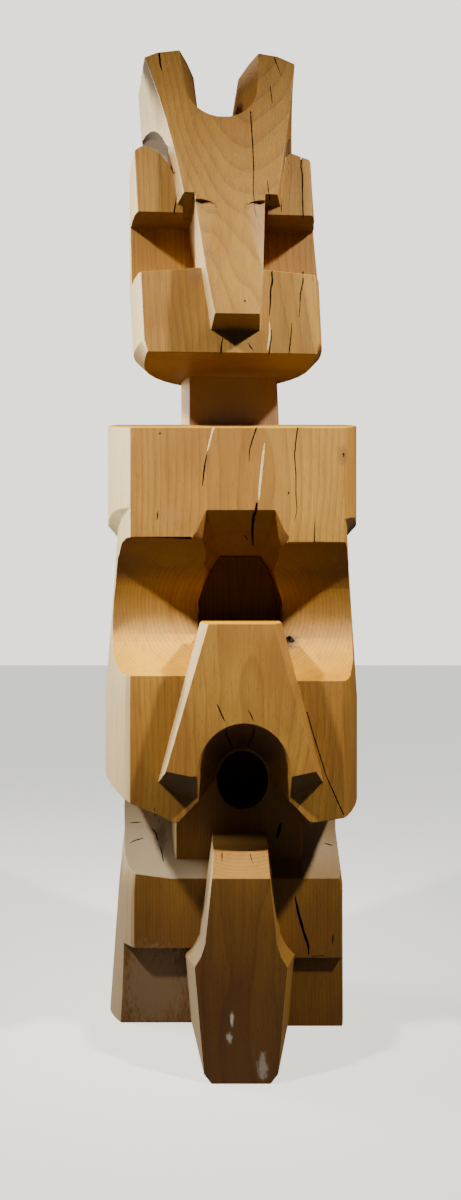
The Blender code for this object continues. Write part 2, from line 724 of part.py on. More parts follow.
def cut_grooves(body):
    """Gouged grooves that part the cheek lobes from the horns, with ceilings that fall backwards."""
    outer = HEAD_SIDE + CLEAR
    width = LOBE_WIDTH - GROOVE_TRIM
    height = CHEEK_HEIGHT - GROOVE_TRIM
    for side, inset, rise in ((-1.0, GROOVE_INSET_LEFT, GROOVE_RISE_LEFT),
                              (1.0, GROOVE_INSET_RIGHT, GROOVE_RISE_RIGHT)):
        narrow = width - inset
        high = height + rise
        crossing = sqrt((1.0 / narrow ** 2 - 1.0 / width ** 2) / (1.0 / height ** 2 - 1.0 / high ** 2))
        lobe = quarter(width, height, atan(crossing * width / height))
        ceiling = quarter(narrow, high, atan(crossing * narrow / high))
        inner_x = lobe[0][0]
        rings = []
        for behind, share in ((None, 1.0), (0.0, 1.0), (GROOVE_POCKET, GROOVE_CEILING)):
            roof = [(a[0] + share * (b[0] - a[0]), a[1] + share * (b[1] - a[1]))
                    for a, b in zip(lobe, ceiling)]
            outline = lobe + [(outer, lobe[-1][1]), (outer, roof[-1][1])] + roof[:0:-1]
            if behind is None:
                rings.append([(side * x, -FACE_FRONT - CLEAR, z) for x, z in outline])
            else:
                rings.append([(side * x, -FACE_FRONT + GROOVE_SPLAY * (x - inner_x) + behind, z)
                              for x, z in outline])
        cut(body, loft("groove", rings, on_head))


def snout():
    """Snout from the brows down to the nose, narrower below, its underside cut back to the chin."""
    back = -FACE_FRONT + EYE_DEPTH + JOIN
    rings = []
    for z, half_width, set_in in (
        (Z_NOSE, SNOUT_NOSE_WIDTH, 0.0),
        (Z_NOSE + SNOUT_MIDDLE_RISE, SNOUT_MIDDLE_WIDTH, 0.0),
        (Z_BROW, SNOUT_BROW_WIDTH, 0.0),
        (Z_BROW + 0.5 * JOIN, SNOUT_BROW_WIDTH, SNOUT_SET_IN),
    ):
        front = face_y(z) + set_in
        root = half_width + SNOUT_DRAFT
        low = z - NOSE_UNDERCUT * (back - front) if z == Z_NOSE else z
        rings.append([
            (SNOUT_X - half_width, front, z),
            (SNOUT_X + half_width, front, z),
            (SNOUT_X + root, back, low),
            (SNOUT_X - root, back, low),
        ])
    return loft("snout", rings, on_head)


def crease_depth(half_width, z):
    """Depth of the set-back below a brow: nothing along its inner end, most at the outer side."""
    share = (Z_BROW - CREASE_DROP - z) / CREASE_END
    return CREASE_DEPTH * (half_width - CREASE_INNER - share * (CREASE_END_WIDTH - CREASE_INNER))


def cut_creases(body):
    """Sets the snout back in a slanting crease under each brow."""
    width = CREASE_OUTER - CREASE_INNER
    low = Z_BROW - CREASE_DROP - CREASE_END
    for side in (-1.0, 1.0):
        edge = []
        for step in range(CREASE_STEPS + 1):
            turn = 0.5 * pi * step / CREASE_STEPS
            edge.append((CREASE_OUTER - width * cos(turn), Z_BROW - CREASE_DROP * (1.0 - sin(turn))))
        outline = edge + [(CREASE_OUTER + JOIN, Z_BROW), (CREASE_OUTER + JOIN, low), (CREASE_END_WIDTH, low)]
        front = [(SNOUT_X + side * u, -FACE_FRONT - CLEAR - NOSE_REACH, z) for u, z in outline]
        back = []
        for u, z in outline:
            fallen = z - crease_depth(u, z) if z > low else z
            back.append((SNOUT_X + side * u, face_y(min(fallen, Z_BROW)) + crease_depth(u, fallen), fallen))
        cut(body, loft("crease", [front, back], on_head))


def notch_profile(half_width):
    """Half of the notch between the horns: flaring sides over a round bottom."""
    waist = NOTCH_WAIST * half_width
    spring = Z_NOTCH + NOTCH_ROUND
    flare = (half_width - waist) * CLEAR / (Z_HORN - spring)
    points = [(half_width + flare, Z_HORN + CLEAR)]
    for step in range(NOTCH_STEPS):
        turn = 0.5 * pi * step / NOTCH_STEPS
        points.append((waist * cos(turn), spring - NOTCH_ROUND * sin(turn)))
    return points


def shape_horns(body):
    """Cuts the notch between the horns and slopes their tops outwards."""
    notch = []
    for y, half_width in (
        (-FACE_FRONT - CLEAR, NOTCH_FRONT),
        (-FACE_FRONT, NOTCH_FRONT),
        (-FACE_FRONT + NOTCH_FLARE_DEPTH, NOTCH_NECK),
        (HEAD_BACK + CLEAR, NOTCH_NECK),
    ):
        notch.append((y, mirrored(notch_profile(half_width), NOTCH_X)))
    cut(body, through("horn_notch", notch, on_head))

    slope = (HORN_TOP_OUTER_DROP - HORN_TOP_MIDDLE_DROP) / (HORN_TOP_OUTER - HORN_TOP_MIDDLE)
    outer = HORN_TOP_OUTER + CLEAR
    roof = mirrored([
        (outer, Z_HORN + CLEAR),
        (outer, Z_HORN - HORN_TOP_OUTER_DROP - slope * CLEAR),
        (HORN_TOP_MIDDLE, Z_HORN - HORN_TOP_MIDDLE_DROP),
        (HORN_TOP_INNER, Z_HORN),
    ], 0.0)
    cut(body, through("horn_tops", [(-FACE_FRONT - CLEAR, roof), (HEAD_BACK + CLEAR, roof)], on_head))


def head():
    """Head: chin and cheeks, forehead, eye hollows, snout, brows, and horns with a notch between."""
    blank = cheeks()
    add(blank, forehead())
    cut_eyes(blank)
    cut_grooves(blank)
    add(blank, snout())
    cut_creases(blank)
    shape_horns(blank)
    return blank


def centre_on_base(body):
    """Moves the mesh so that the middle of its box stands on the origin."""
    corners = [Vector(corner) for corner in body.bound_box]
    low = Vector([min(corner[axis] for corner in corners) for axis in range(3)])
    high = Vector([max(corner[axis] for corner in corners) for axis in range(3)])
    middle = 0.5 * (low + high)
    body.data.transform(Matrix.Translation((-middle.x, -middle.y, -low.z)))


def wood():
    """Warm oiled wood."""
    material = bpy.data.materials.new("oiled_wood")
    material.use_nodes = True
    shader = material.node_tree.nodes["Principled BSDF"]
    shader.inputs["Base Color"].default_value = (0.48, 0.27, 0.11, 1.0)
    shader.inputs["Roughness"].default_value = 0.55
    shader.inputs["Metallic"].default_value = 0.0
    return material


def main():
    for old in list(bpy.data.objects):
        bpy.data.objects.remove(old)
    totem = torso()
    cut_scoops(totem)
    add_beak(totem)
    cut_throat(totem)
    add(totem, base())
    cut_mouth(totem)
    add(totem, tongue())
    add(totem, neck())
    add(totem, head())
    centre_on_base(totem)
    totem.data.materials.clear()
    totem.data.materials.append(wood())


main()
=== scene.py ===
"""Dressed model of a totem carved from one log: worn edges, drying cracks, knots and oiled grain."""

import logging
from collections.abc import Iterable, Sequence
from dataclasses import dataclass, field
from enum import Enum
from math import atan2, cos, dist, pi, radians, sin

import bmesh
import bpy
from bpy.types import ID, Material, Mesh, Node, NodeInputs, NodeOutputs, NodeTree, Object
from bpy.types import NodeSocket as Socket
from mathutils import Matrix, Vector
from mathutils.bvhtree import BVHTree


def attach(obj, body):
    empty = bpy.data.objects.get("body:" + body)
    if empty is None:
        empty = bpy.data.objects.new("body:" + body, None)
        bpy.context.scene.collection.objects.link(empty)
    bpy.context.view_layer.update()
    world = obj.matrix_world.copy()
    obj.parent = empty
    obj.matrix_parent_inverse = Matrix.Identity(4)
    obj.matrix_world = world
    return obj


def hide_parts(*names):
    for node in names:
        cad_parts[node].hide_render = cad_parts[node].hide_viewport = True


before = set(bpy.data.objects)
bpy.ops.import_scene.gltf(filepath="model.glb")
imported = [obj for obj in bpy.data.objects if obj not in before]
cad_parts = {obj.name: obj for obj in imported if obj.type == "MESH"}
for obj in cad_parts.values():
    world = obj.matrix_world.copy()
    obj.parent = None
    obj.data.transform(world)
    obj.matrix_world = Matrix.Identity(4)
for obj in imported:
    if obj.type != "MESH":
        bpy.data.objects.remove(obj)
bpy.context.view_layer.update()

LOG = logging.getLogger("totem")

Place = tuple[float, float]
Colour = tuple[float, float, float]
Range = tuple[float, float]


class Opening(Enum):
    """How a drying crack looks: gaping, closed to a line, or stopped with pale filler."""

    GAPING = "gaping"
    HAIRLINE = "hairline"
    FILLED = "filled"


@dataclass(frozen=True)
class Viewpoint:
    """Where the picture is taken from: level, straight at the totem's front.

    The picture is 461 by 1200, and the line of sight is the row of the eye's own height.
    """

    eye: tuple[float, float, float] = (0.0005, -1.6516, 0.692)
    focal: float = 1065.0
    middle_column: float = 230.5
    eye_row: float = 580.0
    rows: float = 1200.0
    sensor: float = 36.0

    def sight(self, spot: Place) -> Vector:
        """Direction, of length 1, in which a spot of the picture is seen, given as its column and row."""
        column, row = spot
        return Vector((column - self.middle_column, self.focal, self.eye_row - row)).normalized()

    def camera(self) -> Object:
        """Makes the scene's camera, shifted down by the picture's framing.

        Returns:
            The camera.
        """
        data = bpy.data.cameras.new("camera")
        data.sensor_width = self.sensor
        data.lens = self.focal / self.rows * self.sensor
        data.shift_y = (self.eye_row - 0.5 * self.rows) / self.rows
        data.dof.use_dof = False
        camera = bpy.data.objects.new("camera", data)
        camera.location = self.eye
        camera.rotation_euler = (0.5 * pi, 0.0, 0.0)
        bpy.context.scene.collection.objects.link(camera)
        bpy.context.scene.camera = camera
        return camera


class Surface:
    """The carved surface, asked where lines of sight meet it and what stands in the light's way."""

    LIFT = 0.001

    def __init__(self, mesh: Mesh) -> None:
        """Reads the faces of a mesh."""
        points = [vertex.co.copy() for vertex in mesh.vertices]
        self.tree = BVHTree.FromPolygons(points, [tuple(face.vertices) for face in mesh.polygons])

    def seen(self, view: Viewpoint, spot: Place) -> tuple[Vector, Vector]:
        """Point of the wood that a spot of the picture shows.

        Args:
            view: Where the picture is taken from.
            spot: Column and row in the picture.

        Returns:
            The point and the outward normal there.
        """
        start = Vector(view.eye)
        point, normal, _, _ = self.tree.ray_cast(start, view.sight(spot))
        if point is None:
            raise ValueError(f"nothing of the totem shows at {spot}")
        return point, normal

    def open_to(self, point: Vector, normal: Vector, directions: Iterable[Vector]) -> float:
        """Share of some directions in which nothing of the totem stands in the way.

        Args:
            point: A point of the surface.
            normal: The outward normal there.
            directions: The directions to look along.

        Returns:
            A share from 0 to 1.
        """
        looks = list(directions)
        start = point + self.LIFT * normal
        free = sum(1 for look in looks if self.tree.ray_cast(start, look)[0] is None)
        return free / len(looks)


class Graph:
    """Adds nodes to one node tree and links them."""

    def __init__(self, tree: NodeTree) -> None:
        """Starts on an empty or a given tree."""
        self.tree = tree

    def add(self, kind: str, inputs: dict | None = None, **settings: object) -> Node:
        """Adds one node.

        Args:
            kind: Blender's name for the type of node.
            inputs: A value or an output to link, for each input by name or number.
            settings: Values for the node's own settings.

        Returns:
            The node.
        """
        node = self.tree.nodes.new(kind)
        for name, value in settings.items():
            setattr(node, name, value)
        for key, value in (inputs or {}).items():
            self.put(node.inputs[key], value)
        return node

    def put(self, socket: Socket, value: object) -> None:
        """Links an output to an input, or sets the input's value.

        Args:
            socket: The input.
            value: A value, which may be a colour, or the output to link.
        """
        if isinstance(value, Socket):
            self.tree.links.new(value, socket)
        else:
            socket.default_value = (*value, 1.0) if socket.type == "RGBA" else value

    def math(self, operation: str, first: object, second: object = 0.0) -> Socket:
        """Output of a Math node on two values or outputs."""
        return self.add("ShaderNodeMath", {0: first, 1: second}, operation=operation).outputs[0]

    def vector(self, operation: str, first: object, second: object = (0.0, 0.0, 0.0)) -> Socket:
        """Output of a Vector Math node on two vectors or outputs."""
        return self.add("ShaderNodeVectorMath", {0: first, 1: second}, operation=operation).outputs[0]

    def ramp(self, value: object, low: float, high: float) -> Socket:
        """Share that rises smoothly from 0 to 1.

        Args:
            value: The output to read.
            low: Where the share is 0.
            high: Where the share is 1, which may lie below low.

        Returns:
            The share.
        """
        node = self.add("ShaderNodeMapRange", {"Value": value, "From Min": low, "From Max": high},
                        interpolation_type="SMOOTHSTEP")
        return node.outputs[0]

    def product(self, first: object, *others: object) -> Socket:
        """Product of an output and some values or outputs.

        Args:
            first: The first factor.
            others: The other factors.

        Returns:
            The product.
        """
        for other in others:
            first = self.math("MULTIPLY", first, other)
        return first

    def blend(self, share: object, first: object, second: object, mode: str = "MIX") -> Socket:
        """Colour between two colours.

        Args:
            share: Share of the second colour.
            first: The first colour.
            second: The second colour.
            mode: How the second colour goes over the first.

        Returns:
            The blended colour.
        """
        node = self.add("ShaderNodeMix", {"Factor": share}, data_type="RGBA", blend_type=mode)
        self.put(node.inputs[6], first)
        self.put(node.inputs[7], second)
        return node.outputs[2]

    def noise(self, place: object, scale: float, detail: float, rough: float) -> Node:
        """Noise at a place, scale in bumps a metre."""
        return self.add("ShaderNodeTexNoise", {"Vector": place, "Scale": scale, "Detail": detail,
                                               "Roughness": rough})

    def scaled(self, vector: object, factor: object) -> Socket:
        """A vector times a factor."""
        return self.add("ShaderNodeVectorMath", {0: vector, "Scale": factor}, operation="SCALE").outputs[0]

    def drawn_out(self, place: object, along: float, scale: float, detail: float, rough: float) -> Node:
        """Noise drawn out along the log, its upright axis scaled by a factor."""
        place = self.add("ShaderNodeMapping", {"Vector": place, "Scale": (1.0, 1.0, along)}).outputs[0]
        return self.noise(place, scale, detail, rough)


def finish_of(name: str) -> tuple[Material, Graph, NodeInputs]:
    """Starts a finish.

    Args:
        name: The material's name.

    Returns:
        The material, its graph and the inputs of its Principled shader.
    """
    material = bpy.data.materials.new(name)
    material.use_nodes = True
    return material, Graph(material.node_tree), material.node_tree.nodes["Principled BSDF"].inputs


def placed(name: str, data: ID) -> Object:
    """Puts an object in the scene.

    Args:
        name: The object's name.
        data: Its mesh, light or camera.

    Returns:
        The object.
    """
    thing = bpy.data.objects.new(name, data)
    bpy.context.scene.collection.objects.link(thing)
    return thing


def worked(piece: Object) -> Mesh:
    """Takes the modifiers off a piece.

    Args:
        piece: The piece, which keeps its own mesh.

    Returns:
        The mesh that they made of it.
    """
    bpy.context.view_layer.update()
    mesh = bpy.data.meshes.new_from_object(piece.evaluated_get(bpy.context.evaluated_depsgraph_get()))
    piece.modifiers.clear()
    return mesh


def remake(piece: Object, mesh: Mesh) -> None:
    """Gives a piece another mesh and drops its old one."""
    old, piece.data = piece.data, mesh
    bpy.data.meshes.remove(old)


class Effect:
    """A shader node group that several finishes use, built once."""

    def __init__(self, name: str, inputs: dict[str, tuple[str, object]], outputs: dict[str, str]) -> None:
        """Makes the group and its sockets.

        Args:
            name: The group's name.
            inputs: Type and value of each input by name.
            outputs: Type of each output by name.
        """
        self.tree = bpy.data.node_groups.new(name, "ShaderNodeTree")
        for label, (kind, value) in inputs.items():
            socket = self.tree.interface.new_socket(label, in_out="INPUT", socket_type=kind)
            if value is not None:
                socket.default_value = value
        for label, kind in outputs.items():
            self.tree.interface.new_socket(label, in_out="OUTPUT", socket_type=kind)
        self.graph = Graph(self.tree)
        self.given = self.graph.add("NodeGroupInput").outputs
        self.result = self.graph.add("NodeGroupOutput").inputs

    def use(self, graph: Graph, inputs: dict) -> NodeOutputs:
        """Places the group in a material.

        Args:
            graph: The material's graph.
            inputs: A value or an output to link, for each input by name.

        Returns:
            The placed group's outputs.
        """
        node = graph.add("ShaderNodeGroup", node_tree=self.tree)
        for label, value in inputs.items():
            graph.put(node.inputs[label], value)
        return node.outputs


FLOAT = "NodeSocketFloat"
VECTOR = "NodeSocketVector"


class GrowthRings(Effect):
    """Growth rings about an upright pith, which wander as the trunk grew."""

    DRIFT = 3.2
    YEARS = 55.0
    CLOSE = 0.90

    def __init__(self) -> None:
        """Builds the group."""
        super().__init__("growth_rings", {
            "Place": (VECTOR, None),
            "Pith": (VECTOR, (0.0, 0.0, 0.0)),
            "Ring": (FLOAT, 0.005),
            "Wander": (FLOAT, 0.03),
        }, {"Late Wood": FLOAT, "Season": FLOAT})
        graph, given = self.graph, self.given
        bend = graph.drawn_out(given["Place"], 0.45, self.DRIFT, 3.0, 0.55).outputs["Color"]
        drift = graph.scaled(graph.vector("SUBTRACT", bend, (0.5, 0.5, 0.5)), given["Wander"])
        spot = graph.vector("SUBTRACT", graph.vector("ADD", given["Place"], drift), given["Pith"])
        flat = graph.vector("MULTIPLY", spot, (1.0, 1.0, 0.0))
        radius = graph.add("ShaderNodeVectorMath", {0: flat}, operation="LENGTH").outputs["Value"]
        count = graph.math("DIVIDE", radius, given["Ring"])
        share = graph.math("FRACT", count)
        rise = graph.math("POWER", share, 3.0)
        close = graph.math("SUBTRACT", 1.0, graph.ramp(share, self.CLOSE, 1.0))
        graph.put(self.result["Late Wood"], graph.product(rise, close))
        years = graph.product(radius, self.YEARS)
        years = graph.add("ShaderNodeTexNoise", {"W": years, "Scale": 1.0, "Detail": 2.0},
                          noise_dimensions="1D")
        graph.put(self.result["Season"], years.outputs[0])


class Fibre(Effect):
    """Fine fibres and pores that run up the log."""

    FINE = 520.0
    STREAKS = 90.0
    PORES = 900.0
    PORE_RANGE: Range = (0.60, 0.72)

    def __init__(self) -> None:
        """Builds the group."""
        super().__init__("fibre", {
            "Place": (VECTOR, None),
            "Fineness": (FLOAT, 1.0),
        }, {"Fibre": FLOAT, "Streak": FLOAT, "Pores": FLOAT})
        graph, given = self.graph, self.given
        place = graph.scaled(given["Place"], given["Fineness"])
        fine = graph.drawn_out(place, 0.035, self.FINE, 3.0, 0.6)
        streak = graph.drawn_out(place, 0.05, self.STREAKS, 3.0, 0.55)
        pores = graph.drawn_out(place, 0.10, self.PORES, 1.0, 0.5)
        graph.put(self.result["Fibre"], fine.outputs[0])
        graph.put(self.result["Streak"], streak.outputs[0])
        graph.put(self.result["Pores"], graph.ramp(pores.outputs[0], *self.PORE_RANGE))


class HandWork(Effect):
    """Low flats and ridges that a gouge and a plane leave, and the soft rub of handling."""

    BROAD = 17.0
    STROKES = 60.0
    STROKE_SHARE = 0.35
    PATCHES = 5.5

    def __init__(self) -> None:
        """Builds the group."""
        super().__init__("hand_work", {
            "Place": (VECTOR, None),
        }, {"Relief": FLOAT, "Patches": FLOAT})
        graph, given = self.graph, self.given
        broad = graph.drawn_out(given["Place"], 0.6, self.BROAD, 2.0, 0.5)
        strokes = graph.drawn_out(given["Place"], 0.22, self.STROKES, 1.0, 0.5)
        relief = graph.math("ADD", broad.outputs[0], graph.product(strokes.outputs[0], self.STROKE_SHARE))
        graph.put(self.result["Relief"], relief)
        patches = graph.drawn_out(given["Place"], 0.55, self.PATCHES, 3.0, 0.6)
        graph.put(self.result["Patches"], patches.outputs[0])


class Spot(Effect):
    """A ragged spot round a place, for the dark halo of a knot, a pale scuff or painted shade."""

    ROUGHNESS = 260.0
    FADE: Range = (0.35, 1.0)

    def __init__(self) -> None:
        """Builds the group."""
        super().__init__("spot", {
            "Place": (VECTOR, None),
            "Middle": (VECTOR, (0.0, 0.0, 0.0)),
            "Size": (VECTOR, (0.01, 0.01, 0.01)),
            "Ragged": (FLOAT, 0.5),
        }, {"Mask": FLOAT})
        graph, given = self.graph, self.given
        away = graph.vector("SUBTRACT", given["Place"], given["Middle"])
        away = graph.vector("DIVIDE", away, given["Size"])
        far = graph.add("ShaderNodeVectorMath", {0: away}, operation="LENGTH").outputs["Value"]
        rough = graph.drawn_out(given["Place"], 0.4, self.ROUGHNESS, 3.0, 0.6).outputs[0]
        rough = graph.math("SUBTRACT", rough, 0.5)
        far = graph.math("ADD", far, graph.product(given["Ragged"], rough))
        graph.put(self.result["Mask"], graph.math("SUBTRACT", 1.0, graph.ramp(far, *self.FADE)))


@dataclass(frozen=True)
class Tint:
    """A coloured spot of the wood: a knot's dark halo, a pale chip, a grey scuff or painted shade."""

    spot: Place
    size: tuple[float, float, float]
    colour: Colour
    strength: float
    ragged: float = 0.8


class Lie:
    """Tells a material where a point of the wood lies and which way it faces."""

    def __init__(self, graph: Graph) -> None:
        """Adds the nodes that read the place and the normal.

        Args:
            graph: The material's graph.
        """
        self.graph = graph
        self.place = graph.add("ShaderNodeTexCoord").outputs["Object"]
        where = graph.add("ShaderNodeSeparateXYZ", {0: self.place}).outputs
        normal = graph.add("ShaderNodeNewGeometry").outputs["Normal"]
        facing = graph.add("ShaderNodeSeparateXYZ", {0: normal}).outputs
        self.reads = {"x": where["X"], "y": where["Y"], "z": where["Z"], "up": facing["Z"],
                      "left": graph.product(facing["X"], -1.0), "front": graph.product(facing["Y"], -1.0)}

    def within(self, *limits: tuple[str, float, float]) -> Socket:
        """Mask of the points within some limits.

        Args:
            limits: What is read, a place in metres or how far the wood faces up, left or to the front,
                and the two values between which the mask goes from 0 to 1.

        Returns:
            The product of the limits' masks.
        """
        masks = (self.graph.ramp(self.reads[part], low, high) for part, low, high in limits)
        return self.graph.product(*masks)


@dataclass(frozen=True)
class Wash:
    """A colour laid over the wood within some limits."""

    colour: Colour
    share: float
    limits: tuple[tuple[str, float, float], ...]
    mode: str = "MIX"

    def over(self, lie: Lie, colour: object) -> Socket:
        """The wood's colour with this one laid over it."""
        mask = lie.graph.product(lie.within(*self.limits), self.share)
        return lie.graph.blend(mask, colour, self.colour, self.mode)


@dataclass(frozen=True)
class OiledWood:
    """Oiled wood with growth rings, fibres and streaks, with painted daylight, top light and shade."""

    name: str = "oiled_wood"
    light: Colour = (0.440, 0.236, 0.036)
    deep: Colour = (0.300, 0.136, 0.020)
    red: Colour = (0.330, 0.126, 0.022)
    late: Colour = (0.155, 0.066, 0.015)
    patch_range: Range = (0.30, 0.72)
    season_range: Range = (0.50, 0.72)
    season_share: float = 0.40
    streak_range: Range = (0.52, 0.75)
    streak_share: float = 0.30
    fibre_range: Range = (0.3, 0.7)
    fibre_light: Range = (0.90, 1.08)
    pore_share: float = 0.28
    pith: tuple[float, float, float] = (0.02, 0.035, 0.0)
    ring: float = 0.0052
    wander: float = 0.050
    ring_depth: float = 0.46

    # painted shade: front faces darker towards the foot, standing in for the lamps' falloff
    foot_shade: Wash = Wash((0.46, 0.38, 0.26), 0.75, (("front", 0.70, 0.95), ("z", 0.42, 0.06)), "MULTIPLY")
    # painted shade: faces turned down, under the chin, the nose and the hoods, made darker
    underside_shade: Wash = Wash((0.28, 0.30, 1.0), 0.8, (("up", -0.25, -0.60),), "MULTIPLY")
    # painted light: faces turned up, above the waist, lighter and yellower
    top_light: Wash = Wash((1.92, 1.92, 0.48), 1.0, (("up", 0.30, 0.60), ("z", 0.52, 0.54)), "MULTIPLY")
    # front faces low and forward, on the tongue, made darker
    tongue_darkening: Wash = Wash((0.46, 0.38, 0.26), 0.85,
                               (("y", -0.10, -0.13), ("z", 0.36, 0.32), ("front", 0.70, 0.95)), "MULTIPLY")
    # paler where a left side lies open to the daylight: partly paler wood, partly painted daylight
    daylight_pale: Wash = Wash((0.80, 0.63, 0.33), 0.85, (("left", 0.42, 0.88),))
    scuffed: Wash = Wash((0.26, 0.185, 0.125), 0.75, (("z", 0.30, 0.20),))
    # painted shade: faces turned down high on the head, in the groove above each cheek, nearly black
    groove_shade: Wash = Wash((0.060, 0.042, 0.032), 0.92, (("up", -0.19, -0.27), ("z", 1.245, 1.265)))
    end_grain: Colour = (0.56, 0.46, 0.32)
    bare_share: float = 0.75
    bare_right_share: float = 0.5

    roughness: float = 0.44
    fibre_dulls: float = 0.22
    ring_shines: float = 0.15
    groove_dulls: float = 0.5
    relief: float = 0.0016
    fibre_height: float = 0.00012
    pore_depth: float = 0.00015
    bump: float = 0.9
    tints: tuple[tuple[Vector, Tint], ...] = ()

    def grain(self, graph: Graph, rings: dict, fibre: dict, patches: object) -> Socket:
        """Colour of the clean, oiled wood.

        Args:
            graph: The material's graph.
            rings: Outputs of the growth rings.
            fibre: Outputs of the fibres.
            patches: Output that parts lighter from deeper wood.

        Returns:
            The colour.
        """
        colour = graph.blend(graph.ramp(patches, *self.patch_range), self.deep, self.light)
        season = graph.product(graph.ramp(rings["Season"], *self.season_range), self.season_share)
        colour = graph.blend(season, colour, self.red)
        colour = graph.blend(graph.product(rings["Late Wood"], self.ring_depth), colour, self.late)
        colour = graph.blend(self.streaks(graph, fibre), colour, self.late)
        shade = graph.add("ShaderNodeMapRange", {
            "Value": fibre["Fibre"], "From Min": self.fibre_range[0], "From Max": self.fibre_range[1],
            "To Min": self.fibre_light[0], "To Max": self.fibre_light[1]}).outputs[0]
        tone = graph.add("ShaderNodeCombineColor", {0: shade, 1: shade, 2: shade}).outputs[0]
        colour = graph.blend(1.0, colour, tone, "MULTIPLY")
        return graph.blend(graph.product(fibre["Pores"], self.pore_share), colour, self.late)

    def streaks(self, graph: Graph, fibre: dict) -> Socket:
        """Share of dark streak along the log."""
        return graph.product(graph.ramp(fibre["Streak"], *self.streak_range), self.streak_share)

    def daylit(self, lie: Lie, colour: object, streaks: object) -> Socket:
        """Pales the sides open to daylight, partly paler wood, partly painted daylight, and scuffs the foot.

        Args:
            lie: Place and facing of the point.
            colour: The colour of the rest of the wood.
            streaks: Share of dark streak, which stays.

        Returns:
            The paled colour, partly painted daylight.
        """
        graph = lie.graph
        day = graph.add("ShaderNodeAttribute", attribute_name=Totem.DAYLIGHT).outputs["Fac"]
        # painted daylight, in part: share from how open each face lies to the lamp on the left
        pale = graph.product(lie.within(*self.daylight_pale.limits), day, self.daylight_pale.share)
        tone = self.scuffed.over(lie, graph.blend(streaks, self.daylight_pale.colour, colour))
        return graph.blend(pale, colour, tone)

    def bared(self, lie: Lie, colour: object) -> Socket:
        """Shows bare end grain in the waist, on the left up to the tongue and on the right at the rim.

        Args:
            lie: Place and facing of the point.
            colour: The colour of the rest of the wood.

        Returns:
            The colour with the end grain.
        """
        graph = lie.graph
        bare = graph.add("ShaderNodeAttribute", attribute_name=Totem.END_GRAIN).outputs["Fac"]
        level = lie.within(("up", 0.25, 0.50), ("x", -0.028, -0.048))
        left = graph.math("MAXIMUM", lie.within(("x", -0.086, -0.092)), level)
        right = graph.product(lie.within(("x", 0.108, 0.118)), self.bare_right_share)
        ends = graph.product(bare, graph.math("MAXIMUM", left, right), self.bare_share)
        return graph.blend(ends, colour, self.end_grain)

    def build(self, effects: dict[str, Effect]) -> Material:
        """Makes the material.

        Args:
            effects: The shared node groups by name.

        Returns:
            The material.
        """
        material, graph, shader = finish_of(self.name)
        lie = Lie(graph)
        rings = effects["rings"].use(graph, {"Place": lie.place, "Pith": self.pith, "Ring": self.ring,
                                             "Wander": self.wander})
        fibre = effects["fibre"].use(graph, {"Place": lie.place, "Fineness": 1.0})
        work = effects["work"].use(graph, {"Place": lie.place})

        colour = self.grain(graph, rings, fibre, work["Patches"])
        # painted shade towards the foot and under things, painted light on faces turned up, and the darker
        # tongue front
        for wash in (self.foot_shade, self.underside_shade, self.top_light, self.tongue_darkening):
            colour = wash.over(lie, colour)
        colour = self.daylit(lie, colour, self.streaks(graph, fibre))
        colour = self.bared(lie, colour)
        # painted shade in the groove above each cheek
        colour = self.groove_shade.over(lie, colour)
        for middle, tint in self.tints:
            mask = effects["spot"].use(graph, {"Place": lie.place, "Middle": middle, "Size": tint.size,
                                               "Ragged": tint.ragged})["Mask"]
            colour = graph.blend(graph.product(mask, tint.strength), colour, tint.colour)
        graph.put(shader["Base Color"], colour)

        gloss = graph.math("ADD", self.roughness, graph.product(fibre["Fibre"], self.fibre_dulls))
        shine = graph.product(rings["Late Wood"], self.ring_depth, self.ring_shines)
        gloss = graph.math("SUBTRACT", gloss, shine)
        groove = graph.product(lie.within(*self.groove_shade.limits), self.groove_dulls)
        graph.put(shader["Roughness"], graph.math("ADD", gloss, groove))
        height = graph.math("ADD", graph.product(work["Relief"], self.relief),
                            graph.product(fibre["Fibre"], self.fibre_height))
        height = graph.math("SUBTRACT", height, graph.product(fibre["Pores"], self.pore_depth))
        bump = graph.add("ShaderNodeBump", {"Height": height, "Distance": 1.0, "Strength": self.bump})
        graph.put(shader["Normal"], bump.outputs[0])
        return material


@dataclass(frozen=True)
class CrackWall:
    """Raw wood inside a crack or a knot: dark, dry and dull."""

    name: str = "crack_wall"
    light: Colour = (0.075, 0.036, 0.018)
    dark: Colour = (0.016, 0.009, 0.006)
    fineness: float = 0.7
    streak_range: Range = (0.45, 0.75)
    roughness: float = 0.9

    def build(self, effects: dict[str, Effect]) -> Material:
        """Makes the material.

        Args:
            effects: The shared node groups by name.

        Returns:
            The material.
        """
        material, graph, shader = finish_of(self.name)
        place = graph.add("ShaderNodeTexCoord").outputs["Object"]
        fibre = effects["fibre"].use(graph, {"Place": place, "Fineness": self.fineness})
        streak = graph.ramp(fibre["Streak"], *self.streak_range)
        graph.put(shader["Base Color"], graph.blend(streak, self.dark, self.light))
        graph.put(shader["Roughness"], self.roughness)
        return material


